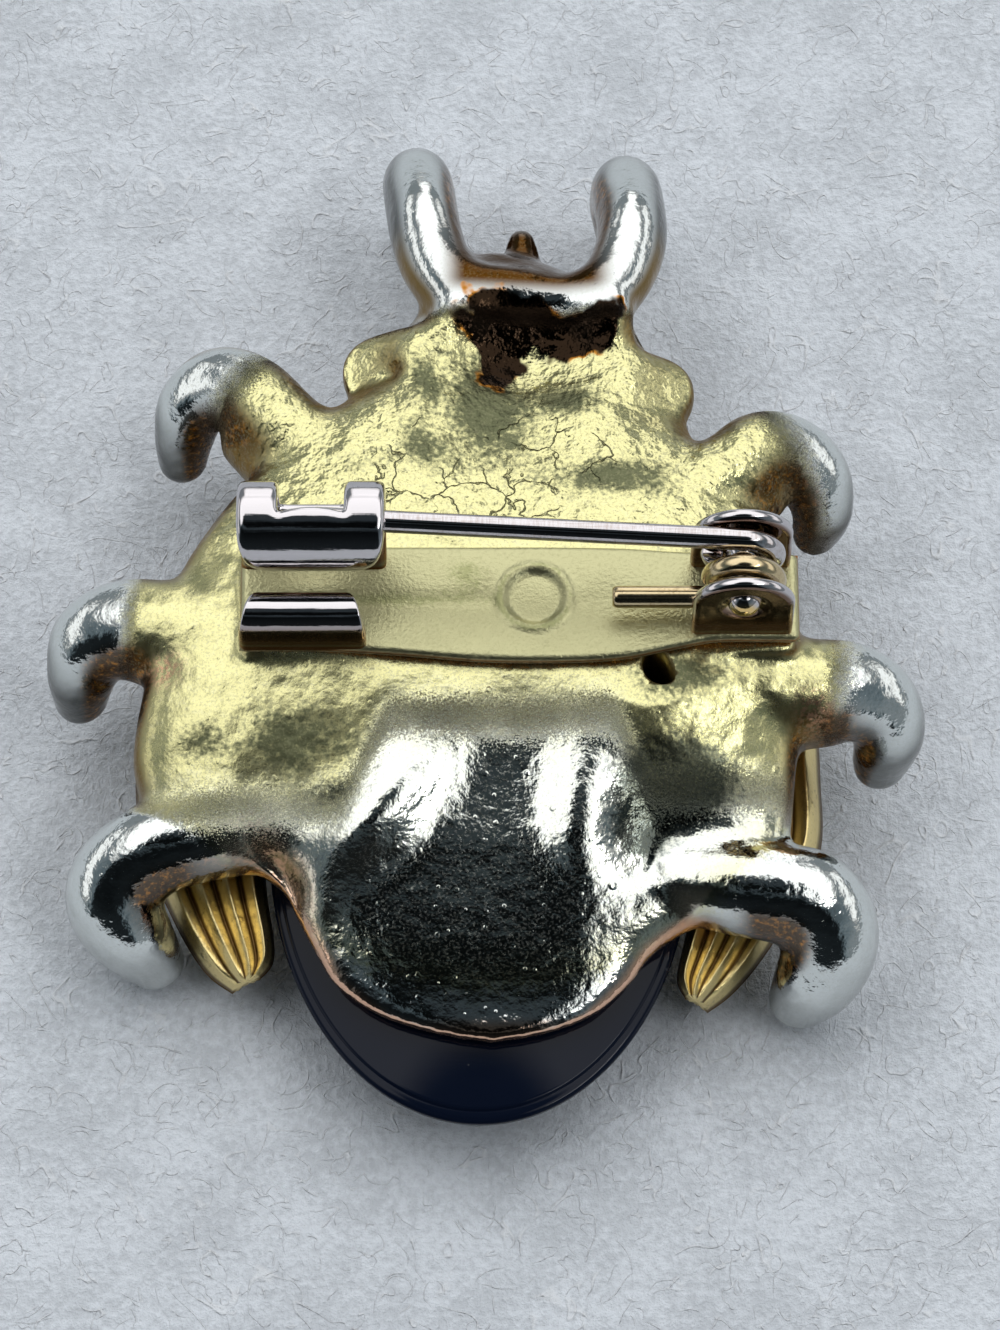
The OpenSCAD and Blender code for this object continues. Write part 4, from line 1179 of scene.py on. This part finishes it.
def effect(label, outputs, **sizes):
    """Keeps a function of a graph, a place and named sizes as a shader node group, made at its
    first use. Each use places the group with its own place and sizes, and gives its outputs."""

    def keep(make):
        def group():
            """The node group, with its sockets and what the function puts between them."""
            tree = bpy.data.node_groups.new(label, "ShaderNodeTree")
            tree.interface.new_socket("Place", in_out="INPUT", socket_type="NodeSocketVector")
            for size, default in sizes.items():
                socket = tree.interface.new_socket(size.title(), in_out="INPUT", socket_type="NodeSocketFloat")
                socket.default_value = default
            for name in outputs:
                tree.interface.new_socket(name, in_out="OUTPUT", socket_type="NodeSocketFloat")
            graph = Graph(tree)
            inputs = graph.put("NodeGroupInput", {}, ["Place", *(size.title() for size in sizes)])
            graph.node("NodeGroupOutput", dict(zip(outputs, make(graph, *inputs))))
            return tree

        def use(graph, place, **values):
            """The group placed in a graph with its own values."""
            inputs = {"Place": place, **{size.title(): value for size, value in values.items()}}
            tree = bpy.data.node_groups.get(label) or group()
            return graph.put("ShaderNodeGroup", inputs, list(outputs), node_tree=tree)

        return use

    return keep


@effect("Tarnish Blotches", ("Mask", "Speckle"), size=320.0, amount=0.5)
def tarnish(g, place, size, amount):
    """Blotches of tarnish broken up by a fine speckle."""
    speckle = g.noise(place, size * 14.0, 3.0, 0.65)
    both = g.noise(place, size, 5.0, 0.6, 0.6) * 0.5 + speckle * 0.5
    low = 0.72 - amount * 0.34
    return g.ramp(both, low, low + 0.20), speckle


@effect("Casting Pits", ("Height",), size=700.0, share=0.3, width=0.14)
def scattered_pits(g, place, size, share, width):
    """Scattered round pits and blisters: one in some cells of a scatter, each a small dome."""
    inputs = {"Vector": place, "Scale": size, "Randomness": 1.0}
    colour, away = g.put("ShaderNodeTexVoronoi", inputs, ["Color", "Distance"], feature="F1")
    pick, vary = g.put("ShaderNodeSeparateColor", {"Color": colour}, [0, 1])
    width = width * (vary + 0.4)
    return (g.ramp(away, width * 0.35, width, 1.0, 0.0) * g.math("LESS_THAN", pick, share),)


@effect("Rubbed Metal", ("Height", "Streaks"), size=900.0, amount=0.5)
def rubbing(g, place, size, amount):
    """Fine rubbing marks: two sets of thin stretched streaks, and slow waviness under them."""
    ways = ((0.2, 0.1, 0.5), (0.12, 1.6, 1.2)), ((0.1, 0.4, -0.9), (1.5, 0.14, 1.2))
    one, two = (
        g.put("ShaderNodeMapping", {"Vector": place, "Rotation": turn, "Scale": stretch})
        for turn, stretch in ways
    )
    streaks = (g.noise(one, size * 5.0, 2.0, 0.6) + g.noise(two, size * 5.0, 2.0, 0.6)) * 0.5
    return g.noise(place, size, 2.0, 0.5) + streaks * amount, streaks


@effect("Wrinkled Skin", ("Crack", "Lump"), size=360.0, width=0.05)
def wrinkles(g, place, size, width):
    """Wrinkled skin: a net of bent cell borders, broken here and there, over soft lumps."""
    bend = g.put("ShaderNodeTexNoise", {"Vector": place, "Scale": size * 1.4, "Detail": 3.0}, 1)
    away = g.vector("SCALE", {0: g.vector("SUBTRACT", {0: bend, 1: (0.5, 0.5, 0.5)}), "Scale": 0.0022})
    bent = g.vector("ADD", {0: place, 1: away})
    net = g.put("ShaderNodeTexVoronoi", {"Vector": bent, "Scale": size}, feature="DISTANCE_TO_EDGE")
    broken = g.ramp(g.noise(place, size * 0.9, 2.0), 0.47, 0.58)
    return g.ramp(net, 0.0, width, 1.0, 0.0) * broken, g.noise(place, size * 2.2, 3.0, 0.5)


@effect("Felt Fibres", ("Fibres",), size=500.0, width=0.02)
def fibres(g, place, size, width):
    """Thin bent fibres: the lines along which a bent noise passes its middle, broken into short
    lengths by a second noise."""
    off = g.math("ABSOLUTE", g.noise(place, size, 1.0, 0.4, 1.2) - 0.5)
    kept = g.ramp(g.noise(place, size * 1.7, 1.0), 0.48, 0.62)
    return (g.ramp(off, 0.0, width, 1.0, 0.0) * kept,)


def shaded(colour, k):
    """A colour made k times as bright."""
    return tuple(v * k for v in colour)


def cast_metal(scene):
    """Gold-plated casting: frosted and tarnished where it is flat, polished on the lower back and limbs, copper
    along the rim, with painted shade brown on its sides, amber inside the bends (partly the plating's own tone,
    partly painted shade and bounced light), and painted dark reflections and glints."""
    f, m = scene.brooch_finishes, Material("cast_plating")
    polished, worn, lowered, crackled, rim = m.marks("polished worn lowered crackled rim")
    side, inner, grey, north, front = m.marks("side inner grey north front")
    stain, glints, burnt, scorched, smoked = m.marks("stain glints burnt scorched smoked")
    mask, speckle = tarnish(m, m.where, size=300.0, amount=stain * 1.2 + 0.40)
    _, small = tarnish(m, m.where, size=900.0, amount=0.5)
    (pits,) = scattered_pits(m, m.where, size=620.0, share=0.40, width=0.11)
    (tiny,) = scattered_pits(m, m.where, size=2600.0, share=0.35, width=0.30)
    crack, lump = wrinkles(m, m.where, size=520.0, width=0.03)
    rubbed, _ = rubbing(m, m.where, size=600.0, amount=0.3)
    grain = m.noise(m.where, 9000.0, 2.0, 0.6)
    uneven = speckle - 0.5
    frosted = m.ramp((1.0 - polished) + (small - 0.5) * 0.8, 0.2, 0.8)
    crack = crack * crackled
    # the painted dark reflection behind the horns, frayed at its edge by noise
    broken = burnt + (m.noise(m.where, 900.0, 2.0, 0.6) - 0.5) * 1.1
    # plating, worn to bright metal, its tarnish with a painted dark reflection down the thorax, and the painted
    # dark reflections on the lower back's lobes
    plain = m.math("ADD", lowered * 0.85, uneven * 0.5, clamp=True)
    bare = m.ramp(worn + uneven * 0.7, 0.20, 0.90)
    base = m.blend(m.math("MAXIMUM", bare, plain), f.gold, f.bright)
    # tarnish blotches, with a painted dark reflection down the middle of the thorax
    tarnish_and_reflection = mask * (frosted * 0.85 + 0.10)
    base = m.blend(tarnish_and_reflection, base, f.tarnish)
    base = m.blend(m.ramp(smoked + uneven * 0.6, 0.25, 0.60) * 0.92, base, (0.040, 0.052, 0.042))
    # painted shade: brown and grey on the steep sides, the grey dimmer in the north, amber inside the bends
    # (partly the plating's own), and dark amber between the horns
    limb_side_shade = m.blend(north, f.limb_side_shade, shaded(f.limb_side_shade, 0.20))
    base = m.blend(side, base, m.blend(grey, f.side_shade_brown, limb_side_shade))
    # amber inside the bends: painted shade and bounced light, partly the plating's own tone
    amber = m.blend(m.ramp(speckle, 0.48, 0.75), shaded(f.amber, 0.14), shaded(f.amber, 1.2))
    base = m.blend(inner, base, amber)
    # painted dark amber shade between the horns
    base = m.blend(scorched, base, shaded(f.amber, 0.18))
    # painted shadow along the wrinkles' creases
    base = m.blend(crack * 0.6, base, (0.12, 0.11, 0.05))
    # copper along the rim and painted coppery glints, then grains of grime
    copper = m.math("MAXIMUM", rim, glints * m.ramp(speckle, 0.40, 0.60))
    base = m.blend(copper * 0.85, base, f.copper)
    base = m.blend(m.ramp(grain, 0.50, 0.62) * (frosted * 0.22 + 0.10), base, (0.30, 0.29, 0.17))
    # painted orange glints at the edge of the dark reflection behind the horns, then the painted black
    # reflection itself
    spark = m.ramp(m.noise(m.where, 520.0, 1.0, 0.5), 0.52, 0.62)
    base = m.blend(spark * m.ramp(broken, 0.30, 0.40), base, shaded(f.amber, 1.2))
    base = m.blend(m.ramp(broken, 0.34, 0.50), base, (0.020, 0.012, 0.007))
    rough = frosted * (f.satin - f.polish) + f.polish + tarnish_and_reflection * 0.2
    rough = rough + m.ramp(grain, 0.46, 0.64) * (lowered * 0.12 + 0.03)
    rough = m.math("ADD", rough, side * 0.07, clamp=True) * (1.0 - m.ramp(broken, 0.30, 0.50) * 0.6)
    bumps = [
        (lump * (frosted * front * 0.75 + 0.20), 0.00030, 1.0),
        (crack * -1.0, 0.00007, 1.0),
        (pits * (1.0 - worn), 0.00004, 0.9),
        (tiny, 0.000012, 0.6),
        (rubbed, 0.00002, 0.5),
        (m.noise(m.where, 420.0, 2.0, 0.5) * frosted, 0.00030, 0.8),
        (m.noise(m.where, 1300.0, 2.0, 0.5), 0.00003, 0.7),
        (grain, 0.000009, 0.7),
    ]
    return m.finish(base, rough, bumps, {"Metallic": 1.0 - side * (1.0 - inner) * 0.10})


def wing_metal(scene):
    """Warm gold of the wings, with shade painted dark brown in the valleys of the flutes."""
    f, m = scene.brooch_finishes, Material("wing_plating")
    (valley,) = m.marks("valley")
    mask, speckle = tarnish(m, m.where, size=420.0, amount=0.6)
    (pits,) = scattered_pits(m, m.where, size=1200.0, share=0.3, width=0.2)
    rubbed, _ = rubbing(m, m.where, size=900.0, amount=0.4)
    # painted shade in the valleys of the flutes
    base = m.blend(m.ramp(valley, 0.70, 1.0), f.wing, (0.13, 0.075, 0.025))
    base = m.blend(mask * 0.6, base, (0.16, 0.10, 0.04))
    bumps = [(rubbed, 0.00008, 0.8), (pits, 0.00003, 0.8)]
    return m.finish(base, speckle * 0.24 + 0.20, bumps, {"Metallic": 1.0})


def finding_metal(scene):
    """Stamped finding: yellowed, grained and stained on the plate, with a painted reflection of the wire,
    copper along the plate's edge, and steel on the catch and ears with shade painted brown on their near faces."""
    f, m = scene.brooch_finishes, Material("stamped_sheet")
    steel, edge, stain, brown, gilt = m.marks("steel edge stain brown gilt")
    mask, speckle = tarnish(m, m.where, size=420.0, amount=stain + 0.36)
    rubbed, _ = rubbing(m, m.where, size=700.0, amount=0.5)
    grain = m.noise(m.where, 6500.0, 3.0, 0.65)
    # olive stains, with a painted reflection of the pin's wire along the plate
    base = m.blend(mask * 0.75, f.plate, (0.30, 0.31, 0.14))
    base = m.blend(m.ramp(grain, 0.52, 0.66) * 0.35, base, (0.36, 0.34, 0.18))
    base = m.blend(steel, base, f.steel)
    base = m.blend(edge, base, (0.30, 0.13, 0.045))
    # painted shade on the walls' near faces, left off the ears' bosses
    base = m.blend(brown * 0.88, base, (0.14, 0.065, 0.025))
    base = m.blend(gilt, base, (0.85, 0.60, 0.25))
    flat = 1.0 - steel
    rough = (speckle - 0.5) * 0.12 + (flat * 0.24 + 0.08)
    bumps = [(rubbed, 0.00003, 0.6), (grain * flat, 0.000035, 0.9)]
    return m.finish(base, rough, bumps, {"Metallic": 1.0})


def wire_metal(scene):
    """Bright drawn steel wire."""
    m = Material("drawn_wire")
    rubbed, streaks = rubbing(m, m.where, size=1500.0, amount=0.4)
    base = m.blend(m.ramp(streaks, 0.4, 0.7), scene.brooch_finishes.steel, (0.46, 0.40, 0.38))
    return m.finish(base, streaks * 0.10 + 0.02, [(rubbed, 0.000003, 0.4)], {"Metallic": 1.0})


def coil_metal():
    """The coil's wire, yellowed where it was near the plating."""
    m = Material("coil_wire")
    rubbed, streaks = rubbing(m, m.where, size=1500.0, amount=0.4)
    mask, _ = tarnish(m, m.where, size=700.0, amount=0.6)
    base = m.blend(mask, (0.62, 0.50, 0.30), (0.34, 0.24, 0.13))
    return m.finish(base, streaks * 0.2 + 0.05, [(rubbed, 0.000003, 0.4)], {"Metallic": 1.0})


def stone_glass(scene):
    """Opaque blue-black glass with a high polish, a little dust and fine rubbing marks."""
    m = Material("stone_polish")
    rubbed, streaks = rubbing(m, m.where, size=300.0, amount=0.2)
    (dust,) = scattered_pits(m, m.where, size=1500.0, share=0.10, width=0.12)
    base = m.blend(dust * 0.25, scene.brooch_finishes.stone, (0.10, 0.11, 0.12))
    rough = dust * 0.3 + (streaks * 0.08 + 0.02)
    return m.finish(base, rough, [(rubbed, 0.00001, 0.4)], {"IOR": 1.48, "Specular IOR Level": 0.18})


def felt(scene):
    """Plain pale felt of the floor: a soft fuzz with thin pale fibres lying every way."""
    m, colour = Material("pale_felt"), scene.brooch_finishes.floor
    lying = 0.0
    for turn, size in ((0.3, 330.0), (1.4, 420.0), (2.4, 520.0)):
        inputs = {"Vector": m.where, "Location": (turn, -turn, 0.1 * turn), "Rotation": (0.0, 0.0, turn)}
        (some,) = fibres(m, m.put("ShaderNodeMapping", inputs), size=size, width=0.016)
        lying = some + lying
    fuzz = m.noise(m.where, 2600.0, 3.0, 0.7)
    shade = fuzz * 0.55 + m.noise(m.where, 260.0, 3.0, 0.6) * 0.45
    pale = tuple(min(1.0, v) for v in shaded(colour, 1.12))
    base = m.blend(m.ramp(shade, 0.38, 0.62), shaded(colour, 0.88), pale)
    base = m.blend(lying * 0.45, base, (0.92, 0.94, 0.96))
    return m.finish(base, 0.95, [(fuzz, 0.0003, 0.6), (lying, 0.0001, 0.6)], {"Specular IOR Level": 0.1})


# ---- the stage


def soft_sky(scene):
    """Studio surround: a wide soft light overhead with a dark round in it, some low soft windows, a
    dim room, and a dim stretch on the near side. Angles are in degrees."""
    scene.world = bpy.data.worlds.new("soft_studio")
    scene.world.use_nodes = True
    g = Graph(scene.world.node_tree)
    g.tree.nodes.clear()
    way = g.put("ShaderNodeTexCoord", {}, "Generated")
    x, y, z = g.put("ShaderNodeSeparateXYZ", {0: way}, [0, 1, 2])
    around, down = (g.math("DEGREES", v) for v in (g.math("ARCTAN2", x, y), g.math("ARCCOSINE", z)))

    def from_axis(lean):
        """How far a direction lies from an axis that leans away from upright, to the far side."""
        axis = (0.0, math.sin(math.radians(lean)), math.cos(math.radians(lean)))
        return g.math("DEGREES", g.math("ARCCOSINE", g.vector("DOT_PRODUCT", {0: way, 1: axis}, "Value")))

    def stretch(middle, low, high):
        """1 round a middle, fading to 0 between two distances from it."""
        turn = g.math("ABSOLUTE", g.math("WRAP", around - middle, 180.0, -180.0))
        return g.ramp(turn, low, high, 1.0, 0.0)

    off = from_axis(-14)
    glow = g.ramp(off, 16.0, 21.0) * g.ramp(from_axis(10), 36.0, 54.0, 1.0, 0.0) * 1.45
    for middle, half, top, low, strength in WINDOWS:
        soft = (low - top) / 5
        pane = stretch(middle, half - 5.0, half + 5.0) * g.ramp(down, top - soft, top + soft)
        glow = glow + pane * g.ramp(down, low - soft, low + soft, 1.0, 0.0) * strength
    glow = glow + g.ramp(off, 18.0, 80.0, 0.045, 0.26)
    glow = glow * (1.0 - stretch(192.0, 36.0, 48.0) * g.ramp(down, 10.0, 20.0) * 0.93)
    tone = g.blend(g.ramp(glow, 0.10, 0.40), (0.72, 0.95, 1.10), (0.98, 0.99, 1.0))
    light = g.put("ShaderNodeBackground", {"Color": tone, "Strength": glow})
    backdrop = g.put("ShaderNodeBackground", {"Color": (0.62, 0.63, 0.65), "Strength": 1.0})
    eye = g.put("ShaderNodeLightPath", {}, "Is Camera Ray")
    g.node("ShaderNodeOutputWorld", {0: g.put("ShaderNodeMixShader", {0: eye, 1: light, 2: backdrop})})


class BROOCH_OT_stage(bpy.types.Operator):
    """Make the floor, the light and the camera"""

    bl_idname = "brooch.stage"
    bl_label = "Stage"

    def execute(self, context):
        scene = context.scene
        corners = [(FLOOR_REACH * x, FLOOR_REACH * y, 0) for x, y in ((-1, -1), (1, -1), (1, 1), (-1, 1))]
        mesh = bpy.data.meshes.new("felt_floor")
        mesh.from_pydata(corners, [], [(0, 1, 2, 3)])
        floor = bpy.data.objects.new("felt_floor", mesh)
        scene.collection.objects.link(floor)
        floor.data.materials.append(felt(scene))
        soft_sky(scene)
        camera = bpy.data.objects.new("camera", bpy.data.cameras.new("camera"))
        scene.collection.objects.link(camera)
        lift = math.radians(CAMERA_LIFT)
        away = CAMERA_AWAY * np.array([0, -math.cos(lift), math.sin(lift)])
        camera.location = tuple(np.array(CAMERA_AIM) * 0.001 + away)
        camera.rotation_euler = (math.pi / 2 - lift, 0, 0)
        camera.data.sensor_fit = "HORIZONTAL"
        camera.data.sensor_width = 36
        camera.data.lens = 180
        camera.data.clip_start = 0.01
        scene.camera = camera
        scene.view_settings.view_transform = "Standard"
        return {"FINISHED"}


class BROOCH_PT_panel(bpy.types.Panel):
    """The brooch's pieces and sizes in the sidebar"""

    bl_label = "Brooch"
    bl_idname = "BROOCH_PT_panel"
    bl_space_type = "VIEW_3D"
    bl_region_type = "UI"
    bl_category = "Brooch"

    def draw(self, context):
        scene = context.scene
        groups = (
            (scene.brooch_casting, ("brooch.casting",)),
            (scene.brooch_stone, ("brooch.stone", "brooch.wings")),
            (scene.brooch_finding, ("brooch.finding", "brooch.wire")),
            (scene.brooch_finishes, ("brooch.stage",)),
        )
        for group, names in groups:
            box = self.layout.box()
            for name in names:
                box.operator(name)
            for key in group.__annotations__:
                box.prop(group, key)


CLASSES = (
    CastingSizes, StoneSizes, FindingSizes, Finishes,
    BROOCH_OT_casting, BROOCH_OT_stone, BROOCH_OT_wings, BROOCH_OT_finding, BROOCH_OT_wire, BROOCH_OT_stage,
    BROOCH_PT_panel,
)
GROUPS = {
    "brooch_casting": CastingSizes,
    "brooch_stone": StoneSizes,
    "brooch_finding": FindingSizes,
    "brooch_finishes": Finishes,
}


def register():
    for cls in CLASSES:
        bpy.utils.register_class(cls)
    for name, cls in GROUPS.items():
        setattr(bpy.types.Scene, name, PointerProperty(type=cls))


def unregister():
    for name in GROUPS:
        delattr(bpy.types.Scene, name)
    for cls in reversed(CLASSES):
        bpy.utils.unregister_class(cls)


def plain(box):
    """A box as plain lists of numbers."""
    return [[float(v) for v in corner] for corner in box]


def main():
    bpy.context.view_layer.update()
    register()
    brooch = bpy.ops.brooch
    for make in (brooch.casting, brooch.stone, brooch.wings, brooch.finding, brooch.wire, brooch.stage):
        make()


if __name__ == "__main__":
    main()
